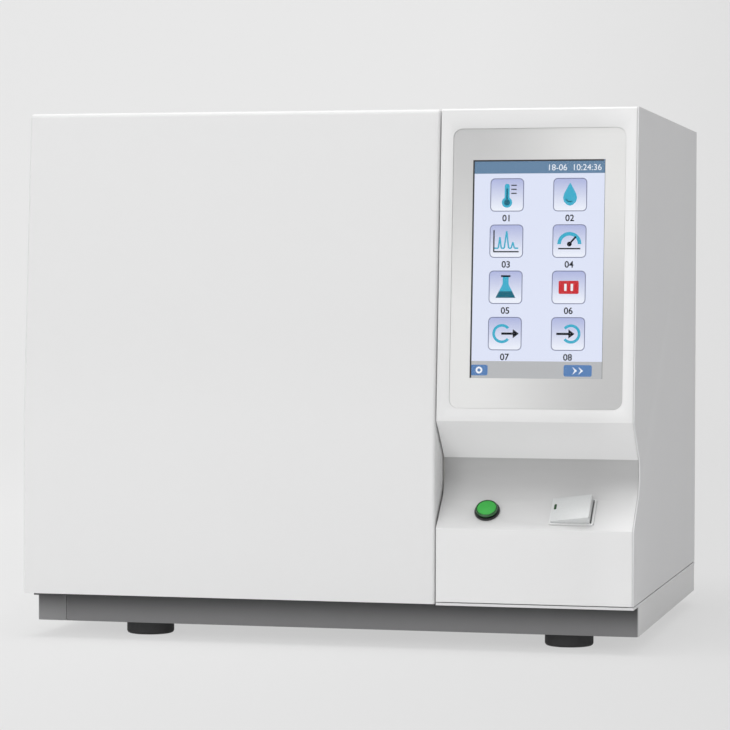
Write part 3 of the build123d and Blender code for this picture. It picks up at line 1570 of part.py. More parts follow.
with BuildPart() as power_supply:
    with BuildSketch(Plane.XY.offset(pan_top_z)):
        with Locations(supply_mid):
            Rectangle(supply_width, supply_length)
    extrude(amount=supply_height)
    with BuildSketch(Plane.XY.offset(pan_top_z + supply_height)):
        with Locations(supply_mid):
            with GridLocations(0, supply_vent_pitch, 1, supply_vent_count):
                SlotOverall(supply_vent_length, supply_vent_width)
    extrude(amount=-supply_vent_depth, mode=Mode.SUBTRACT)
keep(power_supply, "power_supply")

manifold_rear_gap = 30.0
manifold_length = 120.0
manifold_y = rear_inner_y - manifold_rear_gap - manifold_length
manifold_depth = 34.0
manifold_height = 40.0
manifold_z = gas_z - manifold_height / 2
valve_count = 6
valve_diameter = 15.0
valve_length = 26.0

with BuildPart() as flow_manifold:
    with BuildSketch(Plane.XY.offset(manifold_z)):
        with Locations((bulkhead_right_x + manifold_depth / 2, manifold_y + manifold_length / 2)):
            Rectangle(manifold_depth, manifold_length)
    extrude(amount=manifold_height)
    with BuildSketch(profile_plane(bulkhead_right_x + manifold_depth)):
        with Locations((manifold_y + manifold_length / 2, gas_z)):
            with GridLocations(manifold_length / valve_count, 0, valve_count, 1):
                Circle(valve_diameter / 2)
    extrude(amount=valve_length)
keep(flow_manifold, "flow_manifold")
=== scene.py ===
# %% [markdown]
# A bench gas chromatograph, dressed in Blender. The solids come ready made from the packed model: this script
# loads them as a fixed frame, gives every one a procedural finish, and adds the finer pieces that a solid model
# leaves out, such as screen tiles, screw heads, the winding of the column and the guard of the cooling fan.

# %% Load the frame
import json
import math
import bmesh
import bpy
from mathutils import Matrix, Vector


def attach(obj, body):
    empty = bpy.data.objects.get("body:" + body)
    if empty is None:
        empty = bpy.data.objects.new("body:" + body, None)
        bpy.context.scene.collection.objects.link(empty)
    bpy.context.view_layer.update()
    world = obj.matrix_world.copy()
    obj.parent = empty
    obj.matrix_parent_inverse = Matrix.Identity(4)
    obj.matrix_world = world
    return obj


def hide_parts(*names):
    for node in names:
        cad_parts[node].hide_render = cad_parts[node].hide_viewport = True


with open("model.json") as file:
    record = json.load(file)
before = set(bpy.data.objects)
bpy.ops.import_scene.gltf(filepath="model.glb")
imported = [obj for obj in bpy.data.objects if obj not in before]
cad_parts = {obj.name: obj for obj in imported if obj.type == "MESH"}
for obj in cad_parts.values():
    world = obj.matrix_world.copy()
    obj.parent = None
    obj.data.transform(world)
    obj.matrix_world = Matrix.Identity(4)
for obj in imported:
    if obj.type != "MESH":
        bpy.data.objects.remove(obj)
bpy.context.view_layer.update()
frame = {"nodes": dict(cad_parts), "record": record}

nodes = frame["nodes"]

# %% [markdown]
# The camera stands to the right of the machine, a little above its middle, with a long lens, so the front is
# seen nearly square and the right side as a narrow strip. Its place is given as a point and three angles, and a
# matrix built from the view direction avoids any mix-up in the order of rotations.

# %% Camera
CAMERA_PLACE = Vector((0.70626, -3.06582, 0.35801))
CAMERA_YAW = math.radians(-13.2711)
CAMERA_PITCH = math.radians(-1.4944)
CAMERA_ROLL = math.radians(0.1302)
CAMERA_LENS = 142.71


def placed(name, data):
    """An object made of a mesh, a lamp or a camera, put into the scene."""
    thing = bpy.data.objects.new(name, data)
    bpy.context.scene.collection.objects.link(thing)
    return thing


def make_camera():
    """A long-lens camera aimed by yaw, pitch and roll."""
    forward = Vector((
        math.sin(CAMERA_YAW) * math.cos(CAMERA_PITCH),
        math.cos(CAMERA_YAW) * math.cos(CAMERA_PITCH),
        math.sin(CAMERA_PITCH),
    ))
    level = Vector((math.cos(CAMERA_YAW), -math.sin(CAMERA_YAW), 0.0))
    upright = level.cross(forward)
    right = level * math.cos(CAMERA_ROLL) + upright * math.sin(CAMERA_ROLL)
    up = upright * math.cos(CAMERA_ROLL) - level * math.sin(CAMERA_ROLL)
    data = bpy.data.cameras.new("camera")
    data.lens = CAMERA_LENS
    data.sensor_width = 36.0
    data.clip_end = 60.0
    camera = placed("camera", data)
    camera.matrix_world = Matrix((
        (right.x, up.x, -forward.x, CAMERA_PLACE.x),
        (right.y, up.y, -forward.y, CAMERA_PLACE.y),
        (right.z, up.z, -forward.z, CAMERA_PLACE.z),
        (0.0, 0.0, 0.0, 1.0),
    ))
    bpy.context.scene.camera = camera
    return camera


camera = make_camera()
bpy.context.scene.view_settings.view_transform = "Standard"
print("camera at", tuple(round(v, 3) for v in camera.location), "lens", round(camera.data.lens, 1))

# %% [markdown]
# Colours are written as the 0 to 255 values that a colour picker shows. Blender's sockets take linear light, so
# one small function converts them.


# %% Colour helper
def srgb(red, green, blue):
    """Linear colour for a socket, from 0 to 255 values."""
    def linear(value):
        value /= 255
        return value / 12.92 if value <= 0.04045 else ((value + 0.055) / 1.055) ** 2.4
    return (linear(red), linear(green), linear(blue), 1.0)


def grey(level):
    """An even grey, from one 0 to 255 value."""
    return srgb(level, level, level)


print("mid grey as linear light:", [round(v, 3) for v in grey(128)[:3]])

# %% [markdown]
# Every finish below is a tree of shader nodes. Adding a node, setting its sockets and linking it take a line
# each in Blender, so a small class does the three at once: a value is set, and an output is linked.


# %% Node helper
class Bench:
    """A node tree at work, with short ways to add nodes and to link them."""

    def __init__(self, tree):
        self.tree = tree

    def put(self, socket, value):
        """Links an output to a socket, or sets its value."""
        if isinstance(value, bpy.types.NodeSocket):
            self.tree.links.new(value, socket)
        else:
            socket.default_value = value

    def node(self, kind, **inputs):
        """Adds a node; each input is a value or the output of another node."""
        return self.feed(self.tree.nodes.new(kind), **inputs)

    def feed(self, node, **inputs):
        """Gives a node its inputs, named with _ for a space."""
        for label, value in inputs.items():
            self.put(node.inputs[label.replace("_", " ")], value)
        return node

    def math(self, operation, first, second):
        """A Math node on two values."""
        node = self.tree.nodes.new("ShaderNodeMath")
        node.operation = operation
        self.put(node.inputs[0], first)
        self.put(node.inputs[1], second)
        return node.outputs[0]

    def mix(self, factor, first, second):
        """Two colours mixed by a factor."""
        node = self.tree.nodes.new("ShaderNodeMix")
        node.data_type = "RGBA"
        return self.feed(node, Factor=factor, A=first, B=second).outputs["Result"]

    def along(self, axis, start, end, curve="LINEAR"):
        """How far a place lies between two others along one axis, from 0 to 1."""
        axes = self.node("ShaderNodeSeparateXYZ", Vector=self.node("ShaderNodeTexCoord").outputs["Object"])
        reach = self.node("ShaderNodeMapRange", Value=axes.outputs[axis], From_Min=start, From_Max=end)
        reach.interpolation_type = curve
        return reach.outputs["Result"]


def new_material(name):
    """A material with nodes, and a bench to work on them."""
    material = bpy.data.materials.new(name)
    material.use_nodes = True
    return material, Bench(material.node_tree)


print("node helper:", [name for name in vars(Bench) if not name.startswith("_")])

# %% [markdown]
# Studio. A sweep of pale paper runs from under the feet up behind the machine, so there is no horizon. Two large
# soft lamps and an even sky light the object at a plain level: a colour comes out about as bright as it is
# written. The paper has a faint fall-off of light from left to right painted into its colour, and keeps the
# shadow of the object.

# %% Backdrop
SWEEP_WIDTH = 18.0
SWEEP_FRONT = -6.0
SWEEP_BACK = 5.6
SWEEP_RADIUS = 2.4
SWEEP_TOP = 6.0


def make_sweep():
    """Floor, quarter bend and wall as one strip of quads."""
    profile = [(SWEEP_FRONT, 0.0), (0.0, 0.0), (SWEEP_BACK - SWEEP_RADIUS, 0.0)]
    for step in range(1, 17):
        angle = math.pi / 2 * step / 16
        profile.append((
            SWEEP_BACK - SWEEP_RADIUS + SWEEP_RADIUS * math.sin(angle),
            SWEEP_RADIUS - SWEEP_RADIUS * math.cos(angle),
        ))
    profile.append((SWEEP_BACK, SWEEP_TOP))
    points = [(side * SWEEP_WIDTH / 2, y, z) for y, z in profile for side in (-1, 1)]
    faces = [(2 * n, 2 * n + 1, 2 * n + 3, 2 * n + 2) for n in range(len(profile) - 1)]
    mesh = bpy.data.meshes.new("paper_sweep")
    mesh.from_pydata(points, [], faces)
    mesh.polygons.foreach_set("use_smooth", [True] * len(faces))
    return placed("paper_sweep", mesh)


# Painted light: the glow and the paper colour both fall off from left to right.
GLOW_SHARE = 0.7
GLOW_LEFT, GLOW_RIGHT = grey(238), grey(222)
PAPER_LEFT, PAPER_RIGHT = grey(244), grey(228)
FADE_FROM, FADE_TO = -0.9, 0.6


def paper_material():
    """Pale paper with a painted fall-off of light from left to right; seen directly it also glows."""
    material, bench = new_material("paper")
    bench.tree.nodes.clear()
    across = bench.along(0, FADE_FROM, FADE_TO)
    diffuse = bench.node("ShaderNodeBsdfDiffuse", Color=bench.mix(across, PAPER_LEFT, PAPER_RIGHT))
    glow = bench.node("ShaderNodeEmission", Color=bench.mix(across, GLOW_LEFT, GLOW_RIGHT))
    seen = bench.node("ShaderNodeLightPath").outputs
    either = bench.math("MAXIMUM", seen["Is Camera Ray"], seen["Is Glossy Ray"])
    any_way = bench.math("MAXIMUM", either, seen["Is Transmission Ray"])
    both = bench.node("ShaderNodeMixShader", Fac=bench.math("MULTIPLY", any_way, GLOW_SHARE))
    bench.put(both.inputs[1], diffuse.outputs[0])
    bench.put(both.inputs[2], glow.outputs[0])
    bench.node("ShaderNodeOutputMaterial", Surface=both.outputs[0])
    return material


sweep = make_sweep()
sweep.data.materials.append(paper_material())
print("sweep faces:", len(sweep.data.polygons))

# %% Lamps and sky
SKY_STRENGTH = 0.5
LAMPS = (    # name, place, aim, size in metres, power in watts
    ("front_lamp", (-1.4, -7.6, 1.0), (0.0, 0.0, 0.25), 6.5, 200.0),
    ("top_lamp", (-0.6, -1.4, 6.0), (0.0, 0.0, 0.2), 3.4, 150.0),
)


def make_lamp(name, place, target, size, power):
    """A square soft box turned towards a point."""
    data = bpy.data.lights.new(name, "AREA")
    data.size = size
    data.energy = power
    lamp = placed(name, data)
    lamp.location = place
    lamp.rotation_euler = (Vector(target) - Vector(place)).to_track_quat("-Z", "Y").to_euler()


def make_sky():
    """Even white light all round."""
    world = bpy.data.worlds.new("sky")
    bpy.context.scene.world = world
    world.use_nodes = True
    background = world.node_tree.nodes["Background"]
    background.inputs["Color"].default_value = grey(255)
    background.inputs["Strength"].default_value = SKY_STRENGTH


for lamp in LAMPS:
    make_lamp(*lamp)
make_sky()
print("lamps:", [lamp[0] for lamp in LAMPS])

# %% [markdown]
# Finishes are built from shared node groups. The first one is a fine moulded or powder-coated grain: tiny bumps,
# a slow drift in brightness and a drift in roughness from handling. It reads Object coordinates in metres, so
# its scale is a real size, and it hands back a colour, a roughness and a height.


# %% Shared groups: grain
class GroupBench(Bench):
    """An empty shader group, with its named inputs and outputs."""

    def __init__(self, name, numbers, colours=("Base",), results=("Roughness", "Height")):
        super().__init__(bpy.data.node_groups.new(name, "ShaderNodeTree"))
        sockets = self.tree.interface
        for label in colours:
            sockets.new_socket(name=label, in_out="INPUT", socket_type="NodeSocketColor")
        for label, value in numbers.items():
            socket = sockets.new_socket(name=label, in_out="INPUT", socket_type="NodeSocketFloat")
            socket.default_value = value
        sockets.new_socket(name="Colour", in_out="OUTPUT", socket_type="NodeSocketColor")
        for label in results:
            sockets.new_socket(name=label, in_out="OUTPUT", socket_type="NodeSocketFloat")
        self.given = self.tree.nodes.new("NodeGroupInput").outputs
        self.result = self.tree.nodes.new("NodeGroupOutput")

    def noise(self, scale, detail, stretch=(1.0, 1.0, 1.0)):
        """A noise texture on Object coordinates, stretched if asked."""
        place = self.node("ShaderNodeTexCoord").outputs["Object"]
        mapping = self.node("ShaderNodeMapping", Vector=place, Scale=stretch)
        texture = self.node("ShaderNodeTexNoise", Vector=mapping.outputs[0], Scale=scale, Detail=detail)
        return texture.outputs["Fac"]

    def swing(self, pattern, amount, middle):
        """A pattern around one half, made to swing by an amount about a middle."""
        return self.math("ADD", self.math("MULTIPLY", self.math("SUBTRACT", pattern, 0.5), amount), middle)

    def close(self, shade, gloss, height):
        """Swings the base colour, sets the roughness and the height, and hands the tree back."""
        scale = self.node("ShaderNodeVectorMath")
        scale.operation = "SCALE"
        self.put(scale.inputs[0], self.given["Base"])
        self.put(scale.inputs["Scale"], self.swing(shade, self.given["Variation"], 1.0))
        self.feed(self.result, Colour=scale.outputs[0], Roughness=gloss, Height=height)
        return self.tree


def grain_group():
    """Fine grain with slow drift: powder coat, moulded plastic, rubber."""
    bench = GroupBench("fine_grain", {
        "Grain": 2500.0, "Drift": 6.0, "Variation": 0.04, "Base roughness": 0.5, "Spread": 0.08,
    })
    fine = bench.noise(bench.given["Grain"], 2.0)
    slow = bench.noise(bench.given["Drift"], 4.0)
    return bench.close(slow, bench.swing(slow, bench.given["Spread"], bench.given["Base roughness"]), fine)


GRAIN = grain_group()
print("group:", GRAIN.name, "inputs:", [s.name for s in GRAIN.interface.items_tree if s.in_out == "INPUT"])

# %% [markdown]
# The second group is brushed metal. Its noise is drawn out along one axis into hair-fine lines, which break up
# the highlight across the brushing as real rolled sheet does. Three copies, one per axis, serve every sheet.


# %% Shared groups: brushing
LINE_SHARE = 0.7
LINES_ALONG, LINES_ACROSS = 12.0, 900.0


def brushed_group(axis):
    """Hair lines along one axis."""
    numbers = {"Variation": 0.10, "Base roughness": 0.32, "Spread": 0.22}
    bench = GroupBench("brushed_along_" + "xyz"[axis], numbers)
    lines = bench.noise(1.0, 3.0, [LINES_ALONG if n == axis else LINES_ACROSS for n in range(3)])
    fine = bench.math("MULTIPLY", lines, LINE_SHARE)
    slow = bench.math("MULTIPLY", bench.noise(9.0, 3.0), 1 - LINE_SHARE)
    blend = bench.math("ADD", fine, slow)
    return bench.close(blend, bench.swing(blend, bench.given["Spread"], bench.given["Base roughness"]), lines)


BRUSHED = [brushed_group(axis) for axis in range(3)]
print("groups:", [group.name for group in BRUSHED])


# %% [markdown]
# Some pieces have light and shade painted along their length: the base carries painted shade where it faces the
# front, and the overlay film a slow painted sheen. A third group mixes two colours between two places along one
# axis, so such a change is tied to the piece itself and looks the same from every side.


# %% Shared groups: tone along an axis
def tone_group(axis):
    """Colour that goes from one tone to another between two places along one axis."""
    bench = GroupBench("tone_along_" + "xyz"[axis], {"Start": 0.0, "End": 0.0}, ("Here", "There"), ())
    reach = bench.along(axis, bench.given["Start"], bench.given["End"], "SMOOTHSTEP")
    bench.feed(bench.result, Colour=bench.mix(reach, bench.given["Here"], bench.given["There"]))
    return bench.tree


TONE = [tone_group(axis) for axis in range(3)]
print("groups:", [group.name for group in TONE])


# %% Material builder
def pattern_node(bench, group, base, settings, tones):
    """Places a shared group with its own values, and gives it a plain base colour or a chain of tones."""
    pattern = bench.node("ShaderNodeGroup")
    pattern.node_tree = group
    for label, value in settings.items():
        pattern.inputs[label].default_value = value
    bench.feed(pattern, Base=tone_chain(bench, tones) if tones else base)
    return pattern


def tone_chain(bench, tones):
    """Places tone groups one after another; a list in place of a colour is a chain of its own."""
    last = None
    for axis, settings in tones:
        node = bench.node("ShaderNodeGroup")
        node.node_tree = TONE[axis]
        for label, value in settings.items():
            bench.put(node.inputs[label], tone_chain(bench, value) if isinstance(value, list) else value)
        if last:
            bench.put(node.inputs["Here"], last)
        last = node.outputs["Colour"]
    return last


def finish(name, group, base, settings, tones=(), depth=0.00002, strength=0.3, **sockets):
    """A Principled material fed by one shared group; constants are set on the shader itself."""
    material, bench = new_material(name)
    pattern = pattern_node(bench, group, base, settings, tones)
    bump = bench.node("ShaderNodeBump", Distance=depth, Strength=strength, Height=pattern.outputs["Height"])
    bench.feed(
        bench.tree.nodes["Principled BSDF"], Base_Color=pattern.outputs["Colour"],
        Roughness=pattern.outputs["Roughness"], Normal=bump.outputs["Normal"], **sockets,
    )
    return material


def grained(name, base, roughness, grain=3000.0, drift=30.0, variation=0.1, spread=0.1, **more):
    """A finish of fine grain: its roughness, the scale of grain and drift, and how much tone and gloss vary."""
    return finish(name, GRAIN, base, {
        "Grain": grain, "Drift": drift, "Variation": variation, "Base roughness": roughness, "Spread": spread,
    }, **more)


def metal(name, axis, base, roughness=0.32, variation=0.10):
    """A brushed or turned metal, its hair lines along one axis."""
    return finish(name, BRUSHED[axis], base, {"Base roughness": roughness, "Variation": variation}, Metallic=1.0)


# %% [markdown]
# Painted and moulded finishes. The covers carry a satin light grey powder coat, the base a light grey one with
# painted shade on its front, and the control fascia is moulded in a grey that matches the covers. Their grain is
# about a third of a millimetre.

# %% Painted finishes
PAINT = grained("cover_paint", grey(232), 0.46, 2600.0, 5.0, 0.012, 0.06)
SIDE_PAINT = grained("side_paint", srgb(228, 228, 229), 0.5, 2600.0, 5.0, 0.02, 0.06)
# Painted light on the door: its paint lightens towards the bottom, and a painted highlight runs along its top
# edge.
DOOR_PAINTED_LIGHT = [
    (2, {"Here": grey(240), "There": grey(232), "Start": 0.05, "End": 0.34}),
    (2, {"There": grey(255), "Start": 0.536, "End": 0.5368}),
]
DOOR_PAINT = grained("door_paint", grey(232), 0.42, 2600.0, 5.0, 0.012, 0.06, tones=DOOR_PAINTED_LIGHT)
BASE_SIDE = grey(227)
BASE_SETTINGS = {"grain": 2400.0, "drift": 8.0, "variation": 0.03, "spread": 0.08}


def base_painted_shade(foot, top):
    """Painted shade: the base is darker towards its top, under the door, and only where it faces the front."""
    return [
        (2, {"Here": srgb(foot, foot, foot + 1), "There": srgb(top, top, top + 1), "Start": 0.013, "End": 0.046}),
        (1, {"There": BASE_SIDE, "Start": -0.2285, "End": -0.2262}),
    ]


# Painted shade, in part: the dark grey of the plate under the door.
SHADE_PLATE_GREY = grained("shade_plate_grey", srgb(74, 74, 75), 0.5, **BASE_SETTINGS)
# Painted shade on the front of the base and of its side rail.
BASE_PAINT = grained("base_paint", BASE_SIDE, 0.5, tones=base_painted_shade(134, 62), **BASE_SETTINGS)
RAIL_PAINT = grained("rail_paint", BASE_SIDE, 0.5, tones=base_painted_shade(146, 84), **BASE_SETTINGS)
print("painted finishes made")


# %% Moulded finishes
def painted_light_rightward(low, high):
    """Painted light: a grey that lifts a little towards the right end of the fascia."""
    return [(0, {"Here": grey(low), "There": grey(high), "Start": 0.260, "End": 0.312})]


# Painted light and shade by height: lighter lower face, painted shade in the bowl, a painted highlight on top.
FASCIA_PAINTED_LIGHT = [
    (2, {"Here": painted_light_rightward(244, 250), "There": painted_light_rightward(235, 241), "Start": 0.04, "End": 0.125}),
    (2, {"There": painted_light_rightward(217, 242), "Start": 0.1215, "End": 0.1225}),
    (2, {"There": painted_light_rightward(214, 239), "Start": 0.124, "End": 0.146}),
    (2, {"There": painted_light_rightward(185, 192), "Start": 0.150, "End": 0.174}),
    (2, {"There": grey(239), "Start": 0.1897, "End": 0.1903}),
    (2, {"There": painted_light_rightward(234, 242), "Start": 0.196, "End": 0.226}),
    (2, {"There": grey(255), "Start": 0.5358, "End": 0.5366}),
]
FASCIA = grained("fascia_moulding", grey(231), 0.42, 3200.0, 7.0, 0.012, 0.05, tones=FASCIA_PAINTED_LIGHT)
RUBBER = grained("foot_rubber", srgb(64, 64, 65), 0.78, 1800.0, 20.0, 0.12)
SILICONE = grained("gasket_silicone", srgb(170, 84, 60), 0.6, 1500.0, 20.0)
BLACK = grained("black_moulding", srgb(30, 30, 32), 0.42, drift=20.0)
WOOL = grained("mineral_wool", srgb(212, 205, 184), 0.95, 700.0, 30.0, 0.18, 0.05, depth=0.0006, strength=0.8)
BOARD = grained("board_laminate", srgb(22, 92, 58), 0.35, 900.0, 30.0, 0.12)
FERRITE = grained("magnet_ferrite", srgb(44, 44, 47), 0.55, 1400.0, 30.0, 0.15)
print("moulded finishes made")

# %% Metal finishes
STAINLESS = metal("brushed_stainless", 0, srgb(192, 191, 188))
STAINLESS_UP = metal("brushed_stainless_up", 2, srgb(192, 191, 188))
ZINC = metal("zinc_sheet", 2, srgb(176, 179, 182), 0.42, 0.16)
TURNED = metal("turned_steel", 1, srgb(205, 205, 204), 0.2, 0.06)
ALUMINIUM = metal("machined_aluminium", 0, srgb(202, 204, 206), 0.36)
BRASS = metal("turned_brass", 1, srgb(206, 170, 98), 0.26, 0.08)
# Painted sheen on the overlay film: on its left it darkens towards the top, on its right towards the bottom.
SHEEN_LOW, SHEEN_HIGH = grey(200), srgb(234, 234, 233)
OVERLAY_PAINTED_SHEEN = [
    (2, {"Here": SHEEN_HIGH, "There": SHEEN_LOW, "Start": 0.32, "End": 0.52}),
    (0, {"There": [(2, {"Here": SHEEN_LOW, "There": SHEEN_HIGH, "Start": 0.29, "End": 0.455})],
         "Start": 0.15, "End": 0.285}),
]
OVERLAY = finish("overlay_film", BRUSHED[0], srgb(206, 209, 213),
                 {"Base roughness": 0.44, "Variation": 0.03, "Spread": 0.04}, OVERLAY_PAINTED_SHEEN)
print("metal finishes made")

# %% Finishes of the switches and the column
SWITCH_WHITE = grained("switch_white", srgb(226, 227, 227), 0.3, 4000.0, 60.0, 0.04, Coat_Weight=0.2)
ROCKER_WHITE = finish("rocker_white", BRUSHED[2], srgb(216, 218, 218),
                      {"Base roughness": 0.36, "Variation": 0.16, "Spread": 0.1})
CAP_GREEN = grained("cap_green", srgb(72, 180, 82), 0.34, 3000.0, 90.0, 0.06, Specular_IOR_Level=0.08)
LENS_GREEN = grained("lens_green", srgb(38, 74, 40), 0.2, 3000.0, 90.0, 0.14, 0.08, Coat_Weight=0.5)
AMBER = grained("coated_silica", srgb(150, 92, 36), 0.25, 900.0, 40.0, 0.2, Coat_Weight=0.5)
print("switch and column finishes made")

# %% Give every solid its finish
FINISH_OF = (
    (RAIL_PAINT, "base_side_rail"),
    (BASE_PAINT, "base_tray"),
    (RUBBER, "feet"),
    (SIDE_PAINT, "floor_pan left_side_panel rear_panel right_side_panel"),
    (STAINLESS_UP, "front_frame fan_baffle detectors door_back_plate"),
    (ZINC, "centre_bulkhead oven_casing top_deck door_hinge_arms lid_hinge_brackets power_supply "
           "door_hinge_lugs"),
    (STAINLESS, "oven_liner oven_heater exhaust_duct exhaust_cowl door_plug oven_fan exhaust_flap"),
    (WOOL, "oven_insulation door_insulation"),
    (ALUMINIUM, "fan_motor port_heater_blocks flow_manifold"),
    (TURNED, "motor_posts column_cage injectors septum_nuts door_hinge_pins lid_hinge_pins door_strikes"),
    (AMBER, "column_coil"),
    (FERRITE, "door_magnets"),
    (PAINT, "lid_bar module_top_cover top_lid"),
    (BLACK, "flap_motor signal_ports mains_inlet touch_glass display_module start_button_body "
            "cooling_fan_frame cooling_fan_rotor"),
    (BRASS, "gas_fittings"),
    (FASCIA, "control_fascia"),
    (OVERLAY, "overlay"),
    (SWITCH_WHITE, "switch_body"),
    (BOARD, "main_board"),
    (DOOR_PAINT, "door_shell"),
    (SILICONE, "door_gasket"),
    (CAP_GREEN, "start_button_cap"),
    (ROCKER_WHITE, "switch_rocker"),
    (LENS_GREEN, "rocker_lens"),
)
finished = 0
for material, names in FINISH_OF:
    for name in names.split():
        for material_slot in nodes[name].material_slots:
            material_slot.material = material
        finished += 1
print("finished solids:", finished, "of", len(nodes))

# %% [markdown]
# Folded sheet and moulded covers never have knife edges. A copy of each outer cover is merged back into clean
# faces and its edges get a bevel of a few tenths of a millimetre, which catches the light along every corner.
# The copy then stands for the solid, which stays in the model for collision.


# %% Covers with softened edges
LIP_HEIGHT = 0.5375
LIP_FRONT = -0.236
LIP_ROUND = 0.0022
FLAT = math.radians(0.4)
SHARP = math.radians(32)


def soften(work, edges, width, segments):
    """Bevels the given edges of a mesh under work."""
    if edges:
        bmesh.ops.bevel(
            work, geom=edges, offset=width, segments=segments, profile=0.5, affect="EDGES", clamp_overlap=True,
        )


def covered(name, width):
    """A copy of a solid with its flat faces joined and its sharp edges bevelled; it replaces the solid."""
    mesh = nodes[name].data.copy()
    mesh.name = name + "_cover"
    work = bmesh.new()
    work.from_mesh(mesh)
    bmesh.ops.remove_doubles(work, verts=work.verts, dist=1e-6)
    bmesh.ops.dissolve_limit(work, angle_limit=FLAT, verts=work.verts, edges=work.edges)
    lip = [
        edge for edge in work.edges
        if all(vert.co.z > LIP_HEIGHT and vert.co.y < LIP_FRONT for vert in edge.verts)
    ]
    soften(work, lip, LIP_ROUND, 4)
    work.edges.ensure_lookup_table()
    sharp = [edge for edge in work.edges if edge.is_manifold and edge.calc_face_angle(0.0) > SHARP]
    soften(work, sharp, width, 2)
    for face in work.faces:
        face.smooth = True
    work.to_mesh(mesh)
    work.free()
    mesh.set_sharp_from_angle(angle=SHARP)
    return placed(name + "_cover", mesh)


BODY_OF = {node: body for body, members in frame["record"]["behaviour"]["bodies"].items() for node in members}


def stand_for(piece, *names):
    """The piece rides with the first solid's body and replaces the solids."""
    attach(piece, BODY_OF[names[0]])
    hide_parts(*names)


COVER_BEVELS = {
    "door_shell": 0.0005, "control_fascia": 0.0007, "right_side_panel": 0.0002, "left_side_panel": 0.0005,
    "top_lid": 0.0005, "module_top_cover": 0.0005, "lid_bar": 0.0004, "rear_panel": 0.0003,
    "switch_rocker": 0.0004, "switch_body": 0.0003, "base_tray": 0.0004, "base_side_rail": 0.0004,
    "floor_pan": 0.0006,
}
for name, width in COVER_BEVELS.items():
    cover = covered(name, width)
    stand_for(cover, name)
    print(name, "faces", len(cover.data.polygons))

# %% [markdown]
# The display sits under the leaning face. Three directions describe that face: to the right, up along it, and
# straight out of it. Everything on the screen is a thin plate placed with them, in millimetres.

# %% The leaning face
LEAN = math.atan2(0.023, 0.310)
LEAN_ORIGIN = Vector((0.2163, -0.262, 0.228))
LEAN_AXES = (
    Vector((1.0, 0.0, 0.0)),
    Vector((0.0, math.sin(LEAN), math.cos(LEAN))),
    Vector((0.0, -math.cos(LEAN), math.sin(LEAN))),
)


def on_lean(x, up, out):
    """A place on the leaning face, from millimetres to the right, up and out."""
    return LEAN_ORIGIN + (LEAN_AXES[0] * x + LEAN_AXES[1] * up + LEAN_AXES[2] * out) / 1000


def finished_mesh(work, name, material):
    """Ends a job in bmesh: a mesh with its material."""
    mesh = bpy.data.meshes.new(name)
    work.to_mesh(mesh)
    work.free()
    mesh.materials.append(material)
    return mesh


def plates(name, outlines, layer, material, place=on_lean):
    """Thin plates with the given outlines, between two heights over a face, as one mesh."""
    work = bmesh.new()
    for outline in outlines:
        rings = [[work.verts.new(place(x, up, out)) for x, up in outline] for out in layer]
        work.faces.new(rings[1])
        work.faces.new(list(reversed(rings[0])))
        for index in range(len(outline)):
            after = (index + 1) % len(outline)
            work.faces.new((rings[0][index], rings[0][after], rings[1][after], rings[1][index]))
    return placed(name, finished_mesh(work, name, material))


# %% Outlines
def box_outline(x, up, width, height, radius=0.0, steps=5):
    """Rectangle around a middle, with rounded corners if asked, counter-clockwise."""
    half_x, half_up = width / 2 - radius, height / 2 - radius
    points = []
    for corner, (side_x, side_up) in enumerate(((1, -1), (1, 1), (-1, 1), (-1, -1))):
        for step in range(steps + 1 if radius else 1):
            angle = math.pi / 2 * (corner - 1 + (step / steps if radius else 0.5))
            points.append((
                x + side_x * half_x + radius * math.cos(angle),
                up + side_up * half_up + radius * math.sin(angle),
            ))
    return points


def disc_outline(x, up, radius, steps=28):
    """A circle."""
    angles = [math.radians(360.0 * n / steps) for n in range(steps)]
    return [(x + radius * math.cos(angle), up + radius * math.sin(angle)) for angle in angles]


def ring_outlines(x, up, outer, inner, start=0.0, sweep=360.0, steps=28):
    """A ring or part of one, in two halves so that no outline closes on itself."""
    halves = []
    for half in range(2):
        first = start + sweep / 2 * half
        angles = [math.radians(first + sweep / 2 * n / (steps // 2)) for n in range(steps // 2 + 1)]
        away = [(x + outer * math.cos(a), up + outer * math.sin(a)) for a in angles]
        back = [(x + inner * math.cos(a), up + inner * math.sin(a)) for a in reversed(angles)]
        halves.append(away + back)
    return halves


def bar_outline(start, end, thickness):
    """A straight bar between two points."""
    along = Vector(end) - Vector(start)
    side = Vector((-along.y, along.x)).normalized() * thickness / 2
    first, last = Vector(start), Vector(end)
    return [tuple(first - side), tuple(last - side), tuple(last + side), tuple(first + side)]


# %% [markdown]
# A lit display gives its own light. Its finishes use the emission socket at strength one with the picture's
# colour, over a nearly black base, and a faint pixel grid keeps the colour from being perfectly flat.

# %% Lit finishes
def pixel_group():
    """Colour with a fine grid and a slow fade across the panel."""
    bench = GroupBench("pixel_grid", {"Variation": 0.03})
    fine = bench.noise(2400.0, 0.0)
    slow = bench.noise(9.0, 1.0)
    blend = bench.math("ADD", bench.math("MULTIPLY", fine, 0.5), bench.math("MULTIPLY", slow, 0.5))
    return bench.close(blend, bench.math("ADD", bench.math("MULTIPLY", blend, 0.1), 0.2), fine)


PIXELS = pixel_group()


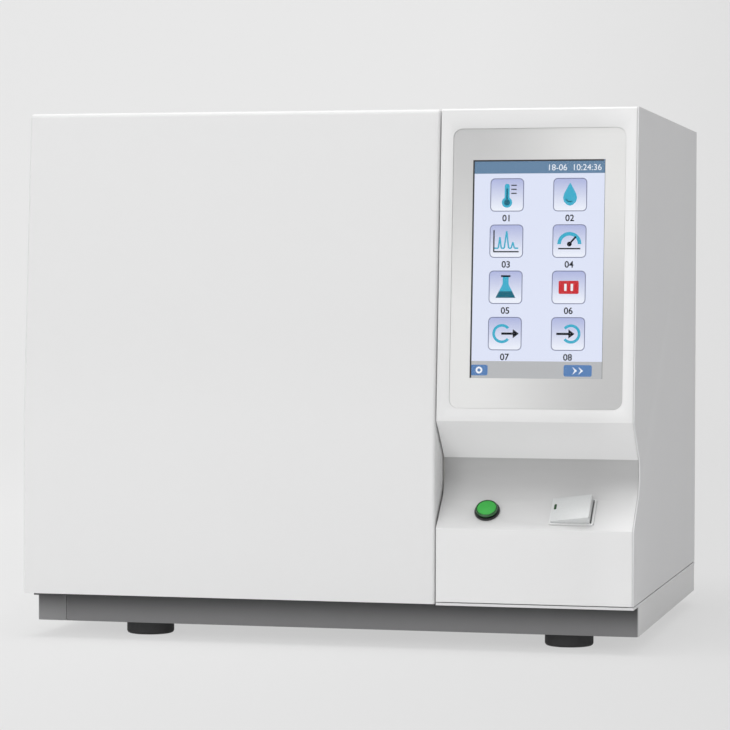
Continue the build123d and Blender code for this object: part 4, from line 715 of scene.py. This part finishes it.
def lit(name, colour, fade_to=None):
    """A lit patch of the display; it may fade to a second colour along the mesh's own fade values."""
    material, bench = new_material(name)
    if fade_to:
        fade = bench.node("ShaderNodeAttribute")
        fade.attribute_name = "fade"
        colour = bench.mix(fade.outputs["Fac"], colour, fade_to)
    pattern = bench.node("ShaderNodeGroup")
    pattern.node_tree = PIXELS
    bench.feed(pattern, Base=colour)
    bench.feed(
        bench.tree.nodes["Principled BSDF"], Base_Color=srgb(12, 12, 14), Specular_IOR_Level=0.0,
        Emission_Strength=1.0, Emission_Color=pattern.outputs["Colour"], Roughness=pattern.outputs["Roughness"],
    )
    return material


LIT = {name: lit("lit_" + name, srgb(*colour)) for name, colour in (
    ("page", (226, 230, 246)), ("bar", (104, 134, 162)), ("foot", (186, 186, 186)), ("rim", (112, 116, 146)),
    ("cyan", (66, 174, 202)), ("teal", (32, 104, 124)), ("red", (204, 48, 54)), ("blue", (92, 130, 180)),
    ("ink", (24, 26, 32)), ("white", (240, 242, 246)),
)}
LIT["tile"] = lit("lit_tile", srgb(176, 182, 220), srgb(244, 246, 252))
print("lit finishes:", sorted(LIT))

# %% The page of the display
SCREEN_WIDTH = 132.2
SCREEN_FOOT = 43.0
SCREEN_TOP = 259.4
BAR_HEIGHT = 13.5
FOOT_HEIGHT = 17.0
PAGE_MIDDLE = 151.2
PAGE_WIDTH = 146.0
OVERRUN = 6.0
PAGE_LAYER = (-2.66, -2.56)
STRIP_LAYER = (-2.55, -2.50)
FACE_LAYER = (-2.49, -2.45)
MARK_LAYER = (-2.44, -2.41)
SIGN_LAYER = (-2.41, -2.38)
DETAIL_LAYER = (-2.37, -2.34)


def strip(up, height):
    """The outline of a bar right across the page."""
    return [box_outline(0, up, PAGE_WIDTH, height + OVERRUN)]


screen_parts = [
    plates("page", [box_outline(0, PAGE_MIDDLE, PAGE_WIDTH, 230.0)], PAGE_LAYER, LIT["page"]),
    plates("page_bar", strip(SCREEN_TOP + (OVERRUN - BAR_HEIGHT) / 2, BAR_HEIGHT), STRIP_LAYER, LIT["bar"]),
    plates("page_foot", strip(SCREEN_FOOT - (OVERRUN - FOOT_HEIGHT) / 2, FOOT_HEIGHT), STRIP_LAYER, LIT["foot"]),
]
print("page parts:", len(screen_parts))

# %% [markdown]
# Eight tiles in two columns lead to the pages of the instrument. Each is a rounded square with a rim, and has a
# simple sign: a thermometer, a drop, a trace, a gauge, a flask, a stop block and two arrows. Plain numbers
# stand under them. The signs are outlines in millimetres around the middle of their tile.

# %% Signs on the tiles
def moved(outlines, x, up):
    """Outlines shifted to a tile."""
    return [[(a + x, b + up) for a, b in outline] for outline in outlines]


def trace_outline():
    """A line with three peaks, as thin as a pen stroke."""
    line = [
        (-12, -7), (-8, -7), (-6.5, 4), (-5, -7), (-2, -7), (0.2, 10), (2.4, -7), (5, -7), (6.6, -1), (8.2, -7),
        (12, -7),
    ]
    return [bar_outline(a, b, 1.5) for a, b in zip(line, line[1:])]


SIGNS = (
    {"cyan": [box_outline(0, 2.5, 5, 17, 2.4), disc_outline(0, -7.5, 5.2)],
     "teal": [box_outline(0, 0, 1.6, 13), disc_outline(0, -7.5, 3.0)],
     "ink": [box_outline(6.8, u, 5.5, 1.1) for u in (1.5, 5.5, 9.5)]},
    {"cyan": [[(0, 12), (-3, 6.5), (-6, 1), (-7, -3), (-6, -7), (-3, -10),
               (0, -11), (3, -10), (6, -7), (7, -3), (6, 1), (3, 6.5)]],
     "teal": ring_outlines(0, -3, 4.6, 3.4, 200, 100)},
    {"cyan": trace_outline(), "ink": [box_outline(0, -10.5, 25, 1.3), box_outline(-12.5, 0, 1.3, 22)]},
    {"cyan": ring_outlines(0, -3, 12, 8.4, 0, 180),
     "ink": [bar_outline((0, -3), (6.5, 4.5), 1.8), disc_outline(0, -3, 2.4), box_outline(0, -7.5, 22, 1.4)]},
    {"cyan": [[(-3, 3), (-10, -10.5), (10, -10.5), (3, 3)], box_outline(0, 6.5, 6, 7.2)],
     "ink": [box_outline(0, 11, 9.5, 1.8)], "teal": [[(-6.6, -4), (-10, -10.5), (10, -10.5), (6.6, -4)]]},
    {"red": [box_outline(0, 0, 20, 13, 1.5)], "white": [box_outline(x, 0, 2.4, 7) for x in (-3.2, 3.2)]},
    {"cyan": ring_outlines(-3, 0, 9.5, 6.8, 40, 280),
     "ink": [box_outline(3, 0, 13, 2.2), [(8, -4.5), (14, 0), (8, 4.5)]]},
    {"cyan": ring_outlines(3, 0, 9.5, 6.8, 220, 280),
     "ink": [box_outline(-5.5, 0, 12, 2.2), [(0.5, -4.5), (6.5, 0), (0.5, 4.5)]]},
)
TILE_WIDTH = 33.7
TILE_HEIGHT = 33.0
TILE_XS = (-31.7, 31.3)
TILE_TOPS = (241.2, 195.3, 149.6, 103.7)
tile_places = [(x, top - TILE_HEIGHT / 2) for top in TILE_TOPS for x in TILE_XS]
inks = {"cyan": [], "teal": [], "red": [], "white": [], "ink": []}
for sign, (x, up) in zip(SIGNS, tile_places):
    for ink, outlines in sign.items():
        inks[ink] += moved(outlines, x, up)
print("outlines on the tiles:", {ink: len(outlines) for ink, outlines in inks.items()})

# %% Tiles
def tile_fade(mesh):
    """Writes how far each corner lies below the top of its own tile, from 0 to 1."""
    fade = mesh.attributes.new("fade", "FLOAT", "POINT")
    for vertex, value in zip(mesh.vertices, fade.data):
        up = (vertex.co - LEAN_ORIGIN).dot(LEAN_AXES[1]) * 1000
        middle = min((place[1] for place in tile_places), key=lambda tile: abs(tile - up))
        value.value = 0.5 - (up - middle) / TILE_HEIGHT


TILE_RIM = 0.8
KEY_UP = SCREEN_FOOT + 8
KEYS = [box_outline(-57, KEY_UP, 17.4, 10.6, 2.0), box_outline(41.5, KEY_UP, 28, 11.4, 2.0)]
CHEVRONS = [[(36 + n, KEY_UP - 4), (41 + n, KEY_UP), (36 + n, KEY_UP + 4), (38.4 + n, KEY_UP)] for n in (0, 6)]
tile_faces = plates("tile_faces", [
    box_outline(x, u, TILE_WIDTH - 2 * TILE_RIM, TILE_HEIGHT - 2 * TILE_RIM, 3.7) for x, u in tile_places
], FACE_LAYER, LIT["tile"])
tile_fade(tile_faces.data)
tile_rims = [box_outline(x, u, TILE_WIDTH, TILE_HEIGHT, 4.5) for x, u in tile_places]
screen_parts += [plates("tile_rims", tile_rims, STRIP_LAYER, LIT["rim"]), tile_faces]
for ink in ("cyan", "red"):
    screen_parts.append(plates("signs_" + ink, inks[ink], SIGN_LAYER, LIT[ink]))
for ink in ("teal", "white", "ink"):
    screen_parts.append(plates("signs_" + ink, inks[ink], DETAIL_LAYER, LIT[ink]))
screen_parts += [
    plates("foot_keys", KEYS, FACE_LAYER, LIT["blue"]),
    plates("foot_signs", ring_outlines(-57, KEY_UP, 3.4, 1.6) + CHEVRONS, MARK_LAYER, LIT["white"]),
]
print("screen parts:", len(screen_parts))


# %% Numbers
DIGIT_WEIGHT = 0.16
NUMBER_DROP = 9.6
NUMBER_OUT = -2.48


def as_mesh(helper):
    """What a helper object looks like once Blender has worked it out, as a plain mesh; the helper goes away."""
    bpy.context.view_layer.update()
    mesh = bpy.data.meshes.new_from_object(helper.evaluated_get(bpy.context.evaluated_depsgraph_get()))
    bpy.data.objects.remove(helper)
    return mesh


def number(name, text, size, place, material, align="CENTER", weight=0.0):
    """Plain digits as a flat mesh on the leaning face."""
    curve = bpy.data.curves.new(name, "FONT")
    curve.body = text
    curve.size = size
    curve.align_x = align
    curve.extrude = 0.01
    curve.offset = weight
    mesh = as_mesh(placed(name, curve))
    x, up, out = place
    for vertex in mesh.vertices:
        vertex.co = on_lean(x + vertex.co.x, up + vertex.co.y, out + vertex.co.z)
    mesh.materials.clear()
    mesh.materials.append(material)
    return placed(name, mesh)


screen_parts += [
    number(
        "tile_number_" + str(index + 1), "0" + str(index + 1), 9.0,
        (x, up - TILE_HEIGHT / 2 - NUMBER_DROP, NUMBER_OUT), LIT["ink"], weight=DIGIT_WEIGHT,
    )
    for index, (x, up) in enumerate(tile_places)
]
CLOCK_PLACE = (62.5, SCREEN_TOP - 10.6, -2.44)
screen_parts.append(number("clock", "18-06  10:24:36", 8.6, CLOCK_PLACE, LIT["white"], "RIGHT"))
for part in screen_parts:
    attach(part, "chassis")
print("numbers:", len(tile_places) + 1)

# %% [markdown]
# Over the page lies a pane of clear glass, thinner here than the solid it stands for, and along the left and top
# of the overlay's opening runs a dark strip of painted shadow, the thin shadow line of the recess round the
# screen.

# %% Pane and painted shadow strip
COATED_INDEX = 1.12    # the anti-glare coat mirrors far less than bare glass
GLASS = grained("screen_glass", srgb(250, 252, 255), 0.04, 900.0, 12.0, 0.02, 0.05, strength=0.02,
                Transmission_Weight=1.0, IOR=COATED_INDEX)
pane = plates("screen_pane", [box_outline(0, PAGE_MIDDLE, 148.0, 232.2)], (-2.2, -1.62), GLASS)
stand_for(pane, "touch_glass")
SHADOW_STRIP_WIDTH = 1.5
SHADOW_STRIP_LIP = 0.4
SCREEN_HEIGHT = SCREEN_TOP - SCREEN_FOOT
# A dark strip of painted shadow at the left and top of the opening, and a thin one at its right.
gasket = plates("screen_shadow_strip", [
    box_outline(-SCREEN_WIDTH / 2 + SHADOW_STRIP_WIDTH / 2, PAGE_MIDDLE, SHADOW_STRIP_WIDTH, SCREEN_HEIGHT),
    box_outline(0, SCREEN_TOP - SHADOW_STRIP_WIDTH / 2, SCREEN_WIDTH - 2 * SHADOW_STRIP_WIDTH, SHADOW_STRIP_WIDTH),
    box_outline(SCREEN_WIDTH / 2 - SHADOW_STRIP_LIP / 2, PAGE_MIDDLE, SHADOW_STRIP_LIP, SCREEN_HEIGHT),
], (-1.61, -1.2), FERRITE)
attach(gasket, "chassis")
print("pane and gasket placed")

# %% [markdown]
# The start button is a lit cap in a dark ring. Its face is a bright disc, a fine groove runs round it, and the
# rim and the side are a darker, glossier green. The shapes are turned: an outline of radius and height that goes
# once round the button's axis, which stands square to the slope.

# %% The slope
SLOPE_RUN = 0.031
SLOPE_RISE = 0.028
SLOPE_LENGTH = math.hypot(SLOPE_RUN, SLOPE_RISE)
SLOPE_FOOT = Vector((0.0, -0.262, 0.122))
SLOPE_UP = Vector((0.0, SLOPE_RUN, SLOPE_RISE)) / SLOPE_LENGTH
SLOPE_OUT = Vector((0.0, -SLOPE_RISE, SLOPE_RUN)) / SLOPE_LENGTH


def on_slope(x, up, out):
    """A place on the slope, from millimetres to the right, up and out."""
    return SLOPE_FOOT + (Vector((x, 0.0, 0.0)) + SLOPE_UP * up + SLOPE_OUT * out) / 1000


def turned(name, x, up, outline, material, steps=72):
    """An outline of radius and height in millimetres, turned about an axis square to the slope."""
    work = bmesh.new()
    rings = []
    for radius, out in outline:
        if radius == 0:
            rings.append([work.verts.new(on_slope(x, up, out))])
            continue
        rings.append([
            work.verts.new(on_slope(
                x + radius * math.cos(math.tau * n / steps), up + radius * math.sin(math.tau * n / steps), out,
            )) for n in range(steps)
        ])
    for first, second in zip(rings, rings[1:]):
        for n in range(steps):
            after = (n + 1) % steps
            corners = [(first, n), (first, after), (second, after), (second, n)]
            work.faces.new(list(dict.fromkeys(ring[place % len(ring)] for ring, place in corners)))
    bmesh.ops.recalc_face_normals(work, faces=work.faces)
    for face in work.faces:
        face.smooth = True
    mesh = finished_mesh(work, name, material)
    mesh.set_sharp_from_angle(angle=math.radians(35))
    return placed(name, mesh)


# %% Start button
BUTTON_X = 166.0
BUTTON_UP = 23.5
CAP_FOOT = 3.2
STEM_FOOT = CAP_FOOT - 17.0
CAP_RIM = grained("cap_rim", srgb(22, 88, 36), 0.16, 2600.0, 30.0, 0.05, 0.06, strength=0.05, Coat_Weight=0.6)
cap = turned("start_cap", BUTTON_X, BUTTON_UP, [
    (0, 5.7), (9.2, 5.7), (9.35, 5.6), (9.4, 5.2), (9.4, CAP_FOOT), (4.5, CAP_FOOT), (4.5, STEM_FOOT),
    (0, STEM_FOOT),
], CAP_GREEN)
rim = turned("start_cap_rim", BUTTON_X, BUTTON_UP, [
    (9.75, CAP_FOOT), (9.75, 5.5), (9.9, 5.8), (10.4, 5.85), (10.8, 5.6), (11.0, 5.1), (11.0, CAP_FOOT),
    (9.75, CAP_FOOT),
], CAP_RIM)
groove = turned("start_cap_groove", BUTTON_X, BUTTON_UP, [
    (9.45, CAP_FOOT), (9.45, 4.9), (9.7, 4.9), (9.7, CAP_FOOT), (9.45, CAP_FOOT),
], BLACK)
stand_for(cap, "start_button_cap")
for piece in (rim, groove):
    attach(piece, BODY_OF["start_button_cap"])

# %% Light lips inside the switch frame, painted light over its shaded gap
SWITCH_X = 252.0
SWITCH_UP = 24.5
CAVITY_WIDTH = 41.0
CAVITY_HEIGHT = 32.0
LIP_REACH = 0.5
# Painted light: pale lips cover the shaded gap at each end of the rocker.
painted_light_lips = plates("switch_lips", [
    box_outline(SWITCH_X + side * (CAVITY_WIDTH - LIP_REACH) / 2, SWITCH_UP, LIP_REACH, CAVITY_HEIGHT)
    for side in (-1, 1)
], (0.6, 1.5), SWITCH_WHITE, on_slope)
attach(painted_light_lips, "chassis")
print("button pieces:", len(cap.data.polygons), len(rim.data.polygons), len(groove.data.polygons))

# %% Corner plate under the door, partly painted shade
# A dark plate under the left end of the door: the lower hinge plate, its dark grey partly painted shade.
SHADE_CORNER_PLATE = ((-0.3135, -0.2345, 0.0412), (-0.2830, -0.2291, 0.0448))
work = bmesh.new()
bmesh.ops.create_cube(work, size=1.0)
low, high = (Vector(corner) for corner in SHADE_CORNER_PLATE)
for vertex in work.verts:
    vertex.co = Vector([low[n] + (vertex.co[n] + 0.5) * (high[n] - low[n]) for n in range(3)])
soften(work, work.edges[:], 0.0005, 2)
shade_corner_plate = placed("shade_corner_plate", finished_mesh(work, "shade_corner_plate", SHADE_PLATE_GREY))
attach(shade_corner_plate, "chassis")
print("corner plate faces:", len(shade_corner_plate.data.polygons))

# %% [markdown]
# What repeats or follows a path is made with Geometry Nodes: screw heads, the fan guard and the winding of the
# column. Each tree has named inputs and ends by realising its instances and setting a material. The tree runs
# once on a helper object, the result is kept as a plain mesh, and the helper goes away.


# %% Geometry Nodes: helpers
class Workshop(Bench):
    """A Geometry Nodes tree under construction."""

    def __init__(self, name, inputs, takes_points=False):
        super().__init__(bpy.data.node_groups.new(name, "GeometryNodeTree"))
        sockets = self.tree.interface
        if takes_points:
            sockets.new_socket(name="Points", in_out="INPUT", socket_type="NodeSocketGeometry")
        for label, kind, value in inputs:
            socket = sockets.new_socket(name=label, in_out="INPUT", socket_type="NodeSocket" + kind)
            socket.default_value = value
        sockets.new_socket(name="Finish", in_out="INPUT", socket_type="NodeSocketMaterial")
        sockets.new_socket(name="Geometry", in_out="OUTPUT", socket_type="NodeSocketGeometry")
        self.given = self.tree.nodes.new("NodeGroupInput").outputs
        self.result = self.tree.nodes.new("NodeGroupOutput").inputs[0]

    def tube(self, path, profile):
        """A closed tube along a path."""
        return self.node(
            "GeometryNodeCurveToMesh", Curve=path, Profile_Curve=profile.outputs[0], Fill_Caps=True,
        ).outputs[0]

    def joined(self, parts):
        """All the parts as one geometry."""
        join = self.tree.nodes.new("GeometryNodeJoinGeometry")
        for part in parts:
            self.put(join.inputs[0], part)
        return join.outputs[0]

    def stood(self, parts, turn):
        """The parts joined, stood up by a turn about X and moved to the Middle input."""
        return self.node(
            "GeometryNodeTransform", Geometry=self.joined(parts), Rotation=(turn, 0.0, 0.0),
            Translation=self.given["Middle"],
        ).outputs[0]

    def close(self, part):
        """Realises instances, sets the material and hands the tree back."""
        real = self.node("GeometryNodeRealizeInstances", Geometry=part)
        smooth = self.node("GeometryNodeSetShadeSmooth", Geometry=real.outputs[0])
        coated = self.node("GeometryNodeSetMaterial", Geometry=smooth.outputs[0], Material=self.given["Finish"])
        self.put(self.result, coated.outputs[0])
        return self.tree


def grown(name, tree, material, points=(), sharp=30.0, **settings):
    """Runs a tree once with the given inputs and keeps the result as a plain mesh piece."""
    seed = bpy.data.meshes.new(name + "_points")
    seed.from_pydata(points, [], [])
    helper = placed(name + "_helper", seed)
    modifier = helper.modifiers.new(name, "NODES")
    modifier.node_group = tree
    labels = {item.name: item.identifier for item in tree.interface.items_tree if item.in_out == "INPUT"}
    modifier[labels["Finish"]] = material
    for label, value in settings.items():
        modifier[labels[label.replace("_", " ")]] = value
    helper.update_tag()
    mesh = as_mesh(helper)
    mesh.name = name
    mesh.set_sharp_from_angle(angle=math.radians(sharp))
    print(name, "faces", len(mesh.polygons))
    return placed(name, mesh)


# %% Screw heads
def screw_tree():
    """Cross-recess heads on points, facing the rear, each stopped at its own angle."""
    shop = Workshop("screw_heads", (
        ("Head radius", "Float", 0.0036), ("Head height", "Float", 0.0022), ("Recess width", "Float", 0.0009),
        ("Turn seed", "Int", 7),
    ), takes_points=True)
    head = shop.node(
        "GeometryNodeMeshCone", Vertices=32, Radius_Bottom=shop.given["Head radius"],
        Radius_Top=shop.math("MULTIPLY", shop.given["Head radius"], 0.8), Depth=shop.given["Head height"],
    )
    recess = []
    for along, across in (("X", "Y"), ("Y", "X")):
        size = shop.node("ShaderNodeCombineXYZ", Z=shop.given["Head height"])
        shop.put(size.inputs[along], shop.given["Head radius"])
        shop.put(size.inputs[across], shop.given["Recess width"])
        bar = shop.node("GeometryNodeMeshCube", Size=size.outputs[0])
        lift = shop.node("ShaderNodeCombineXYZ", Z=shop.given["Head height"])
        moved_bar = shop.node("GeometryNodeTransform", Geometry=bar.outputs["Mesh"], Translation=lift.outputs[0])
        recess.append(moved_bar.outputs[0])
    cut = shop.node("GeometryNodeMeshBoolean", Mesh_1=head.outputs["Mesh"])
    for bar in recess:
        shop.put(cut.inputs["Mesh 2"], bar)
    heads = shop.node(
        "GeometryNodeInstanceOnPoints", Points=shop.given["Points"], Instance=cut.outputs["Mesh"],
        Rotation=(-math.pi / 2, 0.0, 0.0),
    )
    angle = shop.node("FunctionNodeRandomValue", Seed=shop.given["Turn seed"])
    angle.data_type = "FLOAT"
    shop.put(angle.inputs[3], math.pi)
    spin = shop.node("ShaderNodeCombineXYZ", Z=angle.outputs[1])
    heads = shop.node("GeometryNodeRotateInstances", Instances=heads.outputs[0], Rotation=spin.outputs[0])
    return shop.close(heads.outputs[0])


SCREWS = screw_tree()
REAR_FACE = 0.238
PANEL_SIDE = 0.306
PANEL_LOW = 0.058
PANEL_HIGH = 0.529
SEAM_X = 0.117
panel_screws = [(side * PANEL_SIDE, z) for side in (-1, 1) for z in (PANEL_LOW, 0.215, 0.372, PANEL_HIGH)]
panel_screws += [(x, z) for x in (-0.1, SEAM_X) for z in (PANEL_LOW, PANEL_HIGH)]
screws = grown("panel_screws", SCREWS, ZINC, [(x, REAR_FACE, z) for x, z in panel_screws])
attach(screws, "chassis")

# %% [markdown]
# Behind the electronics the cooling fan breathes through a wire guard: rings one inside the other on two crossed
# wires, held by the four screws that also carry the fan.


# %% Fan guard
def guard_tree():
    """Wire rings around a middle, on crossed wires, facing the rear."""
    shop = Workshop("fan_guard", (
        ("Rings", "Int", 5), ("First radius", "Float", 0.009), ("Ring pitch", "Float", 0.007),
        ("Wire radius", "Float", 0.0008), ("Arm length", "Float", 0.05), ("Middle", "Vector", (0.0, 0.0, 0.0)),
    ))
    wire = shop.node("GeometryNodeCurvePrimitiveCircle", Resolution=8, Radius=shop.given["Wire radius"])
    ring = shop.node("GeometryNodeCurvePrimitiveCircle", Resolution=72, Radius=1.0)
    line = shop.node("GeometryNodeMeshLine", Count=shop.given["Rings"], Offset=(0.0, 0.0, 0.0))
    index = shop.node("GeometryNodeInputIndex")
    radius = shop.math("MULTIPLY", index.outputs[0], shop.given["Ring pitch"])
    radius = shop.math("ADD", radius, shop.given["First radius"])
    size = shop.node("ShaderNodeCombineXYZ", X=radius, Y=radius, Z=1.0)
    rings = shop.node(
        "GeometryNodeInstanceOnPoints", Points=line.outputs[0], Instance=ring.outputs[0], Scale=size.outputs[0],
    )
    loose = shop.node("GeometryNodeRealizeInstances", Geometry=rings.outputs[0])
    hoops = shop.node("GeometryNodeCurveToMesh", Curve=loose.outputs[0], Profile_Curve=wire.outputs[0])
    arms = []
    half = shop.math("MULTIPLY", shop.given["Arm length"], 0.7071)
    back = shop.math("MULTIPLY", half, -1.0)
    under = shop.math("MULTIPLY", shop.given["Wire radius"], -1.2)
    for low, high in ((back, half), (half, back)):
        start = shop.node("ShaderNodeCombineXYZ", X=back, Y=low, Z=under)
        end = shop.node("ShaderNodeCombineXYZ", X=half, Y=high, Z=under)
        arm = shop.node("GeometryNodeCurvePrimitiveLine", Start=start.outputs[0], End=end.outputs[0])
        arms.append(shop.tube(arm.outputs[0], wire))
    return shop.close(shop.stood([hoops.outputs[0]] + arms, -math.pi / 2))


FAN_MIDDLE = (0.2463, 0.448)
FAN_SCREW_REACH = 0.03575
GUARD_RINGS = 5
guard = grown("fan_guard", guard_tree(), TURNED, Rings=GUARD_RINGS, First_radius=0.0085, Ring_pitch=0.0072,
              Arm_length=0.0495, Middle=(FAN_MIDDLE[0], REAR_FACE + 0.0027, FAN_MIDDLE[1]))
corners = [(FAN_MIDDLE[0] + a * FAN_SCREW_REACH, REAR_FACE, FAN_MIDDLE[1] + b * FAN_SCREW_REACH)
           for a in (-1, 1) for b in (-1, 1)]
fan_screws = grown("fan_screws", SCREWS, TURNED, corners, Head_radius=0.0036, Head_height=0.0036, Turn_seed=3)
for piece in (guard, fan_screws):
    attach(piece, "chassis")

# %% [markdown]
# The column is a fine glass fibre in an amber coat, wound many times round its cage. Four spirals draw it: one
# round the outside, one round the inside, and one flat across each end of the bundle.


# %% Column winding
def winding_tree():
    """A fibre wound as a helix outside and inside a bundle and as a flat spiral over both ends."""
    shop = Workshop("column_winding", (
        ("Fibre radius", "Float", 0.0005), ("Turns", "Float", 25.0), ("End turns", "Float", 9.0),
        ("Outer radius", "Float", 0.097), ("Inner radius", "Float", 0.088), ("Depth", "Float", 0.025),
        ("Middle", "Vector", (0.0, 0.0, 0.0)),
    ))
    fibre = shop.node("GeometryNodeCurvePrimitiveCircle", Resolution=5, Radius=shop.given["Fibre radius"])
    half = shop.math("MULTIPLY", shop.given["Depth"], -0.5)
    strands = []
    for first, last, turns, depth, lift in (
        ("Outer radius", "Outer radius", "Turns", shop.given["Depth"], half),
        ("Inner radius", "Inner radius", "Turns", shop.given["Depth"], half),
        ("Inner radius", "Outer radius", "End turns", 0.0, half),
        ("Inner radius", "Outer radius", "End turns", 0.0, shop.math("MULTIPLY", half, -1.0)),
    ):
        spiral = shop.node(
            "GeometryNodeCurveSpiral", Resolution=72, Rotations=shop.given[turns], Height=depth,
            Start_Radius=shop.given[first], End_Radius=shop.given[last],
        )
        move = shop.node("ShaderNodeCombineXYZ", Z=lift)
        put = shop.node("GeometryNodeTransform", Geometry=spiral.outputs[0], Translation=move.outputs[0])
        strands.append(shop.tube(put.outputs[0], fibre))
    return shop.close(shop.stood(strands, math.pi / 2))


BUNDLE_MIDDLE = (-0.09795, -0.115, 0.2394)
winding = grown("column_winding", winding_tree(), AMBER, sharp=60.0, Middle=BUNDLE_MIDDLE)
stand_for(winding, "column_coil")
